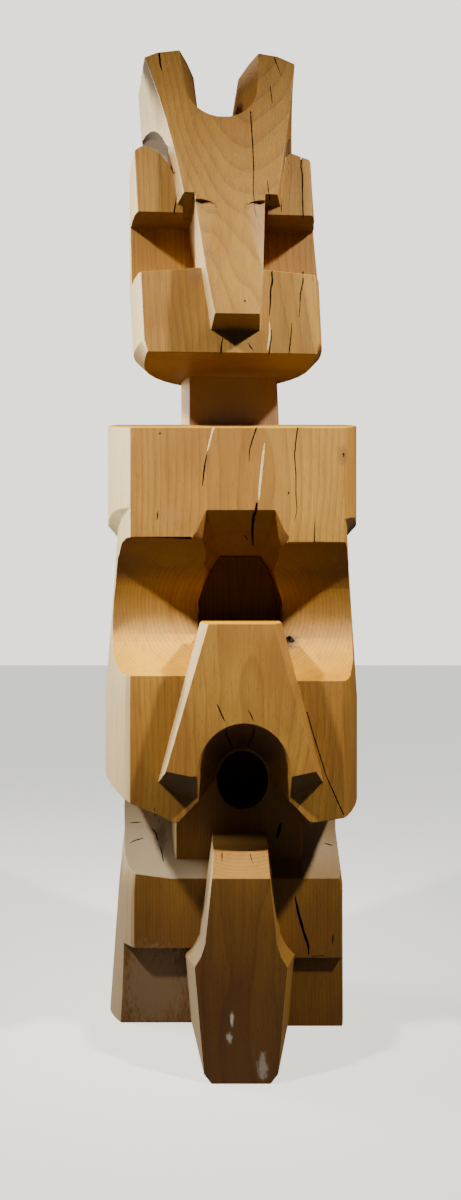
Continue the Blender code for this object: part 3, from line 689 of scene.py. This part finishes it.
@dataclass(frozen=True)
class Filler:
    """Pale filler in an old crack, chalky and a little stained."""

    name: str = "pale_filler"
    light: Colour = (0.80, 0.66, 0.36)
    stained: Colour = (0.55, 0.42, 0.25)
    grit: float = 190.0
    stain_range: Range = (0.50, 0.72)
    roughness: float = 0.65
    grit_dulls: float = 0.25
    relief: float = 0.002

    def build(self, effects: dict[str, Effect]) -> Material:
        """Makes the material.

        Args:
            effects: The shared node groups by name.

        Returns:
            The material.
        """
        material, graph, shader = finish_of(self.name)
        place = graph.add("ShaderNodeTexCoord").outputs["Object"]
        work = effects["work"].use(graph, {"Place": place})
        fine = graph.noise(place, self.grit, 3.0, 0.6).outputs[0]
        stain = graph.ramp(fine, *self.stain_range)
        graph.put(shader["Base Color"], graph.blend(stain, self.light, self.stained))
        gloss = graph.math("ADD", self.roughness, graph.product(fine, self.grit_dulls))
        graph.put(shader["Roughness"], gloss)
        bump = graph.add("ShaderNodeBump", {"Height": graph.product(work["Relief"], self.relief)})
        graph.put(shader["Normal"], bump.outputs[0])
        return material


@dataclass(frozen=True)
class Crack:
    """A drying crack, drawn through spots of the picture and laid on the wood every few dots."""

    SPACING = 4.0

    name: str
    path: tuple[Place, ...]
    opening: Opening = Opening.HAIRLINE
    width: float = 0.0011
    depth: float = 0.010
    runs_off_start: bool = False
    runs_off_end: bool = False
    run: float = 0.006

    def on(self, surface: Surface, view: Viewpoint) -> tuple[list[Vector], Vector]:
        """Lays the crack on the wood.

        Args:
            surface: The carved surface.
            view: Where the picture is taken from.

        Returns:
            The points on the wood and the mean outward direction.
        """
        points, outward = [], Vector()
        for start, end in zip(self.path, self.path[1:]):
            steps = max(1, round(dist(start, end) / self.SPACING))
            for step in range(steps):
                share = step / steps
                spot = (start[0] + share * (end[0] - start[0]), start[1] + share * (end[1] - start[1]))
                point, normal = surface.seen(view, spot)
                points.append(point)
                outward += normal
        point, normal = surface.seen(view, self.path[-1])
        points.append(point)
        if self.runs_off_start:
            points.insert(0, points[0] + self.run * (points[0] - points[1]).normalized())
        if self.runs_off_end:
            points.append(points[-1] + self.run * (points[-1] - points[-2]).normalized())
        return points, (outward + normal).normalized()


class CrackBlade:
    """Geometry Nodes tree that sweeps a thin kite-shaped blade along a crack, tapered at both ends."""

    WOBBLE = 130.0
    BLUNT = 0.35
    THINNEST = 0.35
    RAGGED = 0.55
    INPUTS: tuple[tuple[str, str, object], ...] = (
        ("Width", FLOAT, 0.001),
        ("Depth", FLOAT, 0.010),
        ("Rise", FLOAT, 0.002),
        ("Step", FLOAT, 0.004),
        ("Wander", FLOAT, 0.001),
        ("Seed", FLOAT, 0.0),
        ("Taper Start", FLOAT, 0.0),
        ("Taper End", FLOAT, 1.0),
        ("Outward", VECTOR, (0.0, -1.0, 0.0)),
        ("Material", "NodeSocketMaterial", None),
    )

    def __init__(self) -> None:
        """Builds the tree once."""
        self.tree = bpy.data.node_groups.new("crack_blade", "GeometryNodeTree")
        face = self.tree.interface
        face.new_socket("Geometry", in_out="INPUT", socket_type="NodeSocketGeometry")
        self.keys = {}
        for label, kind, value in self.INPUTS:
            socket = face.new_socket(label, in_out="INPUT", socket_type=kind)
            if value is not None:
                socket.default_value = value
            self.keys[label] = socket.identifier
        face.new_socket("Geometry", in_out="OUTPUT", socket_type="NodeSocketGeometry")
        graph = Graph(self.tree)
        given = graph.add("NodeGroupInput").outputs
        line = graph.add("GeometryNodeMeshToCurve", {"Mesh": given["Geometry"]}).outputs[0]
        line = graph.add("GeometryNodeResampleCurve", {"Curve": line, "Length": given["Step"]},
                         mode="LENGTH").outputs[0]
        here = graph.add("GeometryNodeInputPosition").outputs[0]
        noise = graph.add("ShaderNodeTexNoise", {"Vector": here,
                                                 "W": given["Seed"], "Scale": self.WOBBLE, "Detail": 2.0},
                          noise_dimensions="4D")
        shift = graph.vector("SUBTRACT", noise.outputs["Color"], (0.5, 0.5, 0.5))
        shift = graph.scaled(shift, given["Wander"])
        line = graph.add("GeometryNodeSetPosition", {"Geometry": line, "Offset": shift}).outputs[0]
        tangent = graph.add("GeometryNodeInputTangent").outputs[0]
        sideways = graph.vector("CROSS_PRODUCT", given["Outward"], tangent)
        line = graph.add("GeometryNodeSetCurveNormal", {"Curve": line, "Normal": sideways},
                         mode="FREE").outputs[0]
        factor = graph.add("GeometryNodeSplineParameter").outputs["Factor"]
        factor = graph.add("ShaderNodeMapRange", {"Value": factor, "To Min": given["Taper Start"],
                                                  "To Max": given["Taper End"]}).outputs[0]
        hump = graph.math("SINE", graph.product(factor, pi))
        taper = graph.math("POWER", graph.math("MAXIMUM", hump, 0.0), self.BLUNT)
        taper = graph.math("MAXIMUM", taper, self.THINNEST)
        ragged = graph.product(taper, graph.math("ADD", self.RAGGED, noise.outputs[0]))
        profile = graph.add("GeometryNodeCurvePrimitiveQuadrilateral", mode="KITE")
        graph.put(profile.inputs["Width"], given["Width"])
        graph.put(profile.inputs["Bottom Height"], given["Depth"])
        graph.put(profile.inputs["Top Height"], given["Rise"])
        blade = graph.add("GeometryNodeCurveToMesh", {"Curve": line, "Profile Curve": profile.outputs[0],
                                                      "Scale": ragged, "Fill Caps": True}).outputs[0]
        blade = graph.add("GeometryNodeSetMaterial", {"Geometry": blade,
                                                      "Material": given["Material"]}).outputs[0]
        blade = graph.add("GeometryNodeRealizeInstances", {"Geometry": blade}).outputs[0]
        graph.put(graph.add("NodeGroupOutput").inputs["Geometry"], blade)

    def sweep(self, points: Sequence[Vector], values: dict[str, object]) -> Mesh:
        """Sweeps one blade.

        Args:
            points: The crack's path.
            values: The tree's inputs by name.

        Returns:
            The blade as a plain closed mesh.
        """
        mesh = bpy.data.meshes.new("crack_path")
        mesh.from_pydata(points, [(index, index + 1) for index in range(len(points) - 1)], [])
        path = placed("crack_path", mesh)
        modifier = path.modifiers.new("crack_blade", "NODES")
        modifier.node_group = self.tree
        for label, value in values.items():
            modifier[self.keys[label]] = value
        blade = worked(path)
        bpy.data.objects.remove(path)
        bpy.data.meshes.remove(mesh)
        return blade


@dataclass(frozen=True)
class Knot:
    """A small dark knot or worm hole, round a spot of the picture."""

    DEPTH = 0.8
    spot: Place
    radius: float
    height: float

    def pit(self, surface: Surface, view: Viewpoint) -> Matrix:
        """Place and size of the pit that it leaves in the wood.

        Args:
            surface: The carved surface.
            view: Where the picture is taken from.

        Returns:
            The matrix that takes a unit ball to the pit.
        """
        point, normal = surface.seen(view, self.spot)
        turn = normal.to_track_quat("Z", "Y").to_matrix().to_4x4()
        size = Matrix.Diagonal((self.radius, self.height, self.DEPTH * self.radius, 1.0))
        return Matrix.Translation(point) @ turn @ size


CRACKS: tuple[Crack, ...] = (
    Crack("left_horn", ((159.5, 57), (160, 64), (162, 71)), Opening.GAPING, 0.0024, 0.014,
          runs_off_start=True),
    Crack("forehead_long", ((250.8, 115), (251, 121), (252.6, 142), (253.8, 170), (253.3, 190), (254.5, 205),
          (256, 216)), Opening.GAPING, 0.0014, runs_off_start=True),
    Crack("forehead_right", ((267.5, 180), (268.5, 192), (270, 200))),
    Crack("right_horn_low", ((270, 85), (272.4, 104))),
    Crack("right_horn_high", ((275.5, 61), (281.3, 76)), runs_off_start=True),
    Crack("right_cheek", ((301.5, 157), (301, 166), (302.5, 176), (302.5, 195), (303, 214)), Opening.GAPING,
          0.0015, 0.014, runs_off_start=True, runs_off_end=True),
    Crack("right_cheek_inner", ((280.5, 186), (281.5, 212)), width=0.0013),
    Crack("left_cheek", ((177.5, 193), (176, 202), (174.5, 209.5)), Opening.GAPING, 0.0018,
          runs_off_end=True),
    Crack("right_chin", ((271.7, 271), (272.5, 280), (270.5, 292), (270.5, 303), (269, 316)), Opening.GAPING,
          0.0022, 0.014, runs_off_start=True),
    Crack("right_chin_foot", ((269.5, 321), (270.5, 333), (268, 350)), Opening.FILLED, 0.0030),
    Crack("right_chin_foot_line", ((271.5, 330), (271, 340), (269.5, 350.5)), Opening.GAPING, 0.0014,
          runs_off_end=True),
    Crack("outer_chin", ((303, 273), (303, 282), (300.5, 293), (300, 305), (299, 317)), Opening.GAPING,
          0.0019, 0.012, runs_off_start=True),
    Crack("outer_chin_foot", ((292, 323), (291, 335), (289.5, 349)), width=0.0013, runs_off_end=True),
    Crack("middle_chin", ((223, 338), (221.5, 344), (221.2, 351.5)), Opening.GAPING, 0.0022,
          runs_off_end=True),
    Crack("chin_knot_split", ((248, 343), (251, 348), (253.5, 350.5)), Opening.GAPING, 0.0015),
    Crack("chest_left_filled", ((213, 429), (210, 440), (207.4, 451)), Opening.FILLED, 0.0026,
          runs_off_start=True),
    Crack("chest_left", ((207, 454), (204.5, 466), (202.5, 486)), Opening.GAPING, 0.0018),
    Crack("chest_middle", ((256, 429), (252, 441), (249.5, 450), (249, 461)), Opening.GAPING, 0.0016,
          runs_off_start=True),
    Crack("chest_right_filled", ((264.5, 443), (263, 455), (261.5, 470), (259.5, 490), (258.8, 500)),
          Opening.FILLED, 0.0030),
    Crack("chest_right", ((297.5, 429), (296, 440), (294.5, 455), (296, 475), (296, 495), (297, 510),
          (294.5, 521)), width=0.0014, runs_off_start=True),
    Crack("chest_mark", ((158, 511), (157, 520)), Opening.GAPING, 0.0016),
    Crack("chest_edge", ((315, 521), (314.5, 540)), width=0.0013, runs_off_end=True),
    Crack("hood_roof", ((256, 510), (253.2, 518), (252.3, 532), (252.8, 546)), Opening.GAPING, 0.0034, 0.016,
          runs_off_start=True),
    Crack("hood_roof_branch", ((244.5, 535), (248, 540)), Opening.GAPING, 0.0016),
    Crack("beak_left", ((217, 704), (221, 713), (225, 722)), Opening.GAPING, 0.0017),
    Crack("arch_left", ((226.5, 726), (226, 735), (230, 741), (233, 748)), Opening.GAPING, 0.0017),
    Crack("beak_right", ((248, 709), (251.5, 716), (253.5, 721.5)), Opening.GAPING, 0.0014),
    Crack("arch_right", ((254.2, 726), (253, 735), (248.5, 743), (249, 749)), Opening.GAPING, 0.0017),
    Crack("body_right", ((308, 716), (315, 740), (327, 778), (342, 811)), Opening.HAIRLINE, 0.0013,
          runs_off_start=True, runs_off_end=True),
    Crack("body_right_top", ((297, 683), (299.5, 696)), Opening.GAPING, 0.0018),
    Crack("keel_left", ((154.5, 808), (155, 815)), Opening.GAPING, 0.0020, runs_off_end=True),
    Crack("left_waist_low", ((129.6, 843), (136, 840), (143.8, 838)), width=0.0013),
    Crack("left_waist_high", ((130, 823), (141, 822)), width=0.0013),
    Crack("left_waist_pit", ((160, 846), (162, 853), (163.5, 862)), width=0.0015),
    Crack("left_waist_split", ((152, 828), (156, 833), (158, 841)), width=0.0015),
    Crack("right_waist", ((324, 843), (333, 845.5)), width=0.0013),
    Crack("right_block", ((295, 896), (298, 912), (303, 930), (308, 945), (309, 955)), Opening.GAPING,
          0.0034, 0.020),
    Crack("right_block_foot", ((311, 956.4), (325, 955.6)), width=0.0012),
    Crack("right_block_edge", ((333, 934), (332.5, 945)), Opening.GAPING, 0.0015),
    Crack("tongue_bevel_left", ((222, 850), (222, 862)), width=0.0014),
    Crack("tongue_bevel_right", ((249, 849), (250, 854), (253, 864)), width=0.0014, runs_off_start=True),
    Crack("core_split", ((281, 823), (279.5, 829), (277, 838)), Opening.GAPING, 0.0045, 0.016),
)

KNOTS: tuple[Knot, ...] = (
    Knot((344, 455), 0.0022, 0.0034),
    Knot((245, 301), 0.0015, 0.0017),
    Knot((288.5, 493), 0.0011, 0.0024),
    Knot((289.5, 640), 0.0075, 0.0060),
    Knot((160, 433.5), 0.0013, 0.0018),
)

TINTS: tuple[Tint, ...] = (
    Tint((344, 455), (0.011, 0.02, 0.020), (0.16, 0.075, 0.028), 0.55),
    Tint((289.5, 641), (0.020, 0.03, 0.016), (0.10, 0.045, 0.020), 0.80),
    Tint((232, 1020), (0.0035, 0.02, 0.012), (0.62, 0.60, 0.55), 0.75, 1.6),
    Tint((229, 1038), (0.0045, 0.02, 0.010), (0.58, 0.56, 0.50), 0.60, 1.8),
    Tint((263, 1066), (0.008, 0.02, 0.024), (0.48, 0.45, 0.40), 0.55, 1.8),
    Tint((194, 275), (0.013, 0.02, 0.018), (0.24, 0.13, 0.055), 0.45, 1.6),
    Tint((161, 836), (0.012, 0.03, 0.035), (0.17, 0.13, 0.12), 0.60, 1.6),
    Tint((250, 345), (0.014, 0.02, 0.010), (0.30, 0.16, 0.06), 0.45, 1.2),
    Tint((170, 515), (0.030, 0.02, 0.016), (0.34, 0.16, 0.05), 0.45, 1.0),
    # painted shade: a greyer brown over the neck, where the chin's shadow falls
    Tint((232, 398), (0.130, 0.06, 0.070), (0.27, 0.20, 0.16), 0.80, 0.3),
    Tint((155, 985), (0.080, 0.06, 0.100), (0.33, 0.23, 0.135), 0.60, 1.6),
)


@dataclass
class Totem:
    """The carved log: a copy of the plain solid, cracked, pitted and worn at its edges."""

    DAYLIGHT = "daylight"
    END_GRAIN = "bare_end_grain"
    node: str = "totem"
    worn_edge: float = 0.0013
    worn_segments: int = 2
    sharp_from: float = radians(20.0)
    smooth_below: float = radians(32.0)
    merge: float = 0.00002
    even_weight: int = 60
    flat: float = radians(0.4)
    opened: float = 1.2
    filler_deep: float = 0.0012
    fine_depth: float = 0.7
    blade_rise: float = 0.0025
    blade_step: float = 0.0045
    wander: float = 0.0014
    fine_wander: float = 0.0008
    pit_lobes: float = 0.18
    pit_ripples: float = 0.10
    least_left: float = 0.5
    daylight_turns: tuple[float, ...] = (-0.5, 0.0, 0.5)
    daylight_rises: tuple[float, ...] = (-0.2, 0.15, 0.5)
    daylit_facing: float = -0.2
    daylit_to: float = 0.0
    waist: Range = (0.2325, 0.40)
    core_front: float = -0.03
    core_facing: float = -0.02
    outer_facing: float = 0.93
    step_front: float = -0.14
    step_top: float = 0.27
    step_facing: float = 0.3
    view: Viewpoint = field(default_factory=Viewpoint)

    def blank(self) -> Object:
        """Copies the solid and merges its loose triangles into one closed mesh.

        Returns:
            The piece, in the scene.
        """
        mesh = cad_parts[self.node].data.copy()
        mesh.name = "carved_log"
        shape = bmesh.new()
        shape.from_mesh(mesh)
        bmesh.ops.remove_doubles(shape, verts=shape.verts, dist=self.merge)
        bmesh.ops.dissolve_limit(shape, angle_limit=self.flat, verts=shape.verts, edges=shape.edges)
        bmesh.ops.triangulate(shape, faces=shape.faces)
        shape.to_mesh(mesh)
        shape.free()
        for name in [attribute.name for attribute in mesh.attributes if attribute.name == "custom_normal"]:
            mesh.attributes.remove(mesh.attributes[name])
        mesh.materials.clear()
        return placed("carved_log", mesh)

    def blades(self, surface: Surface, wall: Material, filler: Material) -> list[Mesh]:
        """Sweeps a blade for each crack.

        Args:
            surface: The carved surface.
            wall: Material of a crack's inside.
            filler: Material of the pale filler.

        Returns:
            The blades, one mesh each.
        """
        sweeper = CrackBlade()
        made = []
        for number, crack in enumerate(CRACKS):
            points, outward = crack.on(surface, self.view)
            filled = crack.opening is Opening.FILLED
            fine = crack.opening is Opening.HAIRLINE
            blade = sweeper.sweep(points, {
                "Width": crack.width * self.opened,
                "Depth": self.filler_deep if filled else crack.depth * (self.fine_depth if fine else 1.0),
                "Rise": self.blade_rise,
                "Step": self.blade_step,
                "Wander": self.fine_wander if fine else self.wander,
                "Seed": float(number),
                "Taper Start": 0.5 if crack.runs_off_start else 0.0,
                "Taper End": 0.5 if crack.runs_off_end else 1.0,
                "Outward": outward,
                "Material": filler if filled else wall,
            })
            blade.name = crack.name
            made.append(blade)
        return made

    def pits(self, surface: Surface, wall: Material) -> list[Mesh]:
        """Makes a small ball for each knot, uneven and in the wood by half.

        Args:
            surface: The carved surface.
            wall: Material of the knot's inside.

        Returns:
            The balls, one mesh each.
        """
        made = []
        for number, knot in enumerate(KNOTS):
            shape = bmesh.new()
            bmesh.ops.create_icosphere(shape, subdivisions=2, radius=1.0)
            for vertex in shape.verts:
                angle = atan2(vertex.co.y, vertex.co.x)
                lobes, ripples = sin(3.0 * angle + number), cos(5.0 * angle)
                vertex.co *= 1.0 + self.pit_lobes * lobes + self.pit_ripples * ripples
            shape.transform(knot.pit(surface, self.view))
            mesh = bpy.data.meshes.new("knot_pit")
            shape.to_mesh(mesh)
            shape.free()
            mesh.materials.append(wall)
            made.append(mesh)
        return made

    def carve(self, piece: Object, cutters: Iterable[Mesh]) -> int:
        """Cuts each cutter out of the piece, and leaves out one that would open the surface.

        Args:
            piece: The piece to cut.
            cutters: Closed meshes, which are used up.

        Returns:
            How many cutters cut.
        """
        done = 0
        for mesh in cutters:
            shape = bmesh.new()
            shape.from_mesh(mesh)
            bmesh.ops.recalc_face_normals(shape, faces=shape.faces)
            shape.to_mesh(mesh)
            shape.free()
            tool = placed("cutter", mesh)
            step = piece.modifiers.new("cut", "BOOLEAN")
            step.operation = "DIFFERENCE"
            step.solver = "EXACT"
            step.material_mode = "TRANSFER"
            step.object = tool
            cut = worked(piece)
            if self.closed(cut) and len(cut.polygons) > self.least_left * len(piece.data.polygons):
                remake(piece, cut)
                done += 1
            else:
                LOG.info("%s isn't cut", mesh.name)
                bpy.data.meshes.remove(cut)
            bpy.data.objects.remove(tool)
            bpy.data.meshes.remove(mesh)
        return done

    @staticmethod
    def closed(mesh: Mesh) -> bool:
        """Tells whether a mesh is closed.

        Args:
            mesh: The mesh.

        Returns:
            True if every edge joins just two faces.
        """
        shape = bmesh.new()
        shape.from_mesh(mesh)
        whole = all(edge.is_manifold for edge in shape.edges)
        shape.free()
        return whole

    def wear(self, piece: Object) -> None:
        """Rounds the edges of the uncracked wood, so that each crack cuts through them.

        Args:
            piece: The uncracked piece.
        """
        mesh = piece.data
        shape = bmesh.new()
        shape.from_mesh(mesh)
        weight = shape.edges.layers.float.new("bevel_weight_edge")
        for edge in shape.edges:
            if edge.calc_face_angle(0.0) > self.sharp_from:
                edge[weight] = 1.0
        shape.to_mesh(mesh)
        shape.free()
        bevel = piece.modifiers.new("worn_edges", "BEVEL")
        bevel.width = self.worn_edge
        bevel.segments = self.worn_segments
        bevel.limit_method = "WEIGHT"
        bevel.use_clamp_overlap = False
        bevel.miter_outer = "MITER_ARC"
        remake(piece, worked(piece))

    def shade(self, piece: Object) -> None:
        """Shades curved faces smooth and keeps the arrises.

        Args:
            piece: The carved piece.
        """
        mesh = piece.data
        mesh.shade_smooth()
        mesh.set_sharp_from_angle(angle=self.smooth_below)
        weighted = piece.modifiers.new("even_shading", "WEIGHTED_NORMAL")
        weighted.keep_sharp = True
        weighted.weight = self.even_weight
        remake(piece, worked(piece))

    def mark_daylight_and_end_grain(self, piece: Object, surface: Surface) -> None:
        """Marks how open each face lies to the daylight from the left, and which faces are bare end grain.

        Args:
            piece: The finished piece.
            surface: The carved surface.
        """
        looks = [Vector((-cos(turn) * cos(rise), -sin(turn) * cos(rise), sin(rise)))
                 for turn in self.daylight_turns for rise in self.daylight_rises]
        mesh = piece.data
        # openness to the daylight lamp, which the wood's material paints as paler wood and daylight
        marks = mesh.attributes.new(self.DAYLIGHT, "FLOAT", "FACE")
        for face in mesh.polygons:
            if face.normal.x < self.daylit_facing and face.center.x < self.daylit_to:
                marks.data[face.index].value = surface.open_to(face.center, face.normal, looks)
        ends = mesh.attributes.new(self.END_GRAIN, "FLOAT", "FACE")
        for face in mesh.polygons:
            spot, normal = face.center, face.normal
            inner = abs(normal.x) < self.outer_facing
            core = inner and spot.y > self.core_front and normal.y < self.core_facing
            step = spot.y > self.step_front and spot.z < self.step_top and normal.z > self.step_facing
            if self.waist[0] < spot.z < self.waist[1] and (core or step) and face.material_index == 0:
                ends.data[face.index].value = 1.0

    def build(self, effects: dict[str, Effect]) -> Object:
        """Builds the whole piece.

        Args:
            effects: The shared node groups by name.

        Returns:
            The piece, riding on the frame.
        """
        piece = self.blank()
        surface = Surface(piece.data)
        tints = tuple((surface.seen(self.view, tint.spot)[0], tint) for tint in TINTS)
        wood = OiledWood(tints=tints).build(effects)
        wall = CrackWall().build(effects)
        filler = Filler().build(effects)
        piece.data.materials.append(wood)
        self.wear(piece)
        LOG.info("worn blank: %d faces, closed %s", len(piece.data.polygons), self.closed(piece.data))
        cut = self.carve(piece, self.blades(surface, wall, filler) + self.pits(surface, wall))
        LOG.info("cracks and knots: %d of %d cut", cut, len(CRACKS) + len(KNOTS))
        self.shade(piece)
        self.mark_daylight_and_end_grain(piece, surface)
        LOG.info("carved log: %d faces, closed %s", len(piece.data.polygons), self.closed(piece.data))
        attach(piece, "root")
        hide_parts(self.node)
        return piece


@dataclass(frozen=True)
class Lamp:
    """One soft studio light that looks at a point of the totem."""

    name: str
    place: tuple[float, float, float]
    aim: tuple[float, float, float]
    size: float
    power: float
    colour: Colour
    spread: float = pi

    def hang(self) -> Object:
        """Makes the light, turned to its aim.

        Returns:
            The light, in the scene.
        """
        data = bpy.data.lights.new(self.name, "AREA")
        data.shape = "DISK"
        data.size = self.size
        data.energy = self.power
        data.color = self.colour
        data.spread = self.spread
        lamp = placed(self.name, data)
        lamp.location = self.place
        lamp.rotation_euler = (Vector(self.aim) - Vector(self.place)).to_track_quat("-Z", "Y").to_euler()
        return lamp


@dataclass(frozen=True)
class Studio:
    """Plain pale floor, soft lights and a pale surround."""

    floor_size: float = 14.0
    floor_colour: Colour = (0.16, 0.16, 0.16)
    floor_seen: Colour = (0.78, 0.77, 0.73)
    surround: Colour = (0.86, 0.84, 0.79)
    ambient: Colour = (0.62, 0.78, 1.0)
    surround_strength: float = 0.056
    seen_strength: float = 2.3
    floor_glow: float = 1.35
    floor_roughness: float = 0.8
    lamps: tuple[Lamp, ...] = (
        Lamp("key_left", (-1.05, -0.85, 1.95), (0.0, -0.10, 0.68), 0.12, 4.9, (1.0, 0.93, 0.80),
             radians(52.0)),
        Lamp("key_right", (1.05, -0.85, 1.95), (0.0, -0.10, 0.68), 0.12, 5.2, (1.0, 0.92, 0.78),
             radians(52.0)),
        Lamp("daylight", (-2.5, 0.60, 1.60), (0.0, 0.0, 0.95), 1.4, 30.0, (1.0, 0.98, 0.92), radians(100.0)),
    )

    def lay_floor(self) -> Object:
        """Makes the floor that the totem stands on.

        Returns:
            The floor, in the scene.
        """
        half = 0.5 * self.floor_size
        mesh = bpy.data.meshes.new("floor")
        mesh.from_pydata([(-half, -half, 0.0), (half, -half, 0.0), (half, half, 0.0), (-half, half, 0.0)], [],
                         [(0, 1, 2, 3)])
        material, graph, shader = finish_of("floor")
        graph.put(shader["Roughness"], self.floor_roughness)
        graph.put(shader["Emission Color"], self.floor_seen)
        seen = graph.add("ShaderNodeLightPath").outputs["Is Camera Ray"]
        graph.put(shader["Base Color"], graph.blend(seen, self.floor_colour, self.floor_seen))
        graph.put(shader["Emission Strength"], graph.product(seen, self.floor_glow))
        mesh.materials.append(material)
        floor = placed("floor", mesh)
        return floor

    def light(self) -> None:
        """Hangs the lamps and sets the surround."""
        for lamp in self.lamps:
            lamp.hang()
        world = bpy.data.worlds.new("surround")
        world.use_nodes = True
        background = world.node_tree.nodes["Background"]
        graph = Graph(world.node_tree)
        seen = graph.add("ShaderNodeLightPath").outputs["Is Camera Ray"]
        glow = graph.product(seen, self.seen_strength - self.surround_strength)
        graph.put(background.inputs["Strength"], graph.math("ADD", glow, self.surround_strength))
        graph.put(background.inputs["Color"], graph.blend(seen, self.ambient, self.surround))
        bpy.context.scene.world = world


def main() -> None:
    """Builds the studio and the totem, in order."""
    logging.basicConfig(level=logging.INFO, format="%(name)s: %(message)s")
    effects = {"rings": GrowthRings(), "fibre": Fibre(), "work": HandWork(), "spot": Spot()}
    Viewpoint().camera()
    studio = Studio()
    studio.lay_floor()
    studio.light()
    totem = Totem().build(effects)


if __name__ == "__main__":
    main()
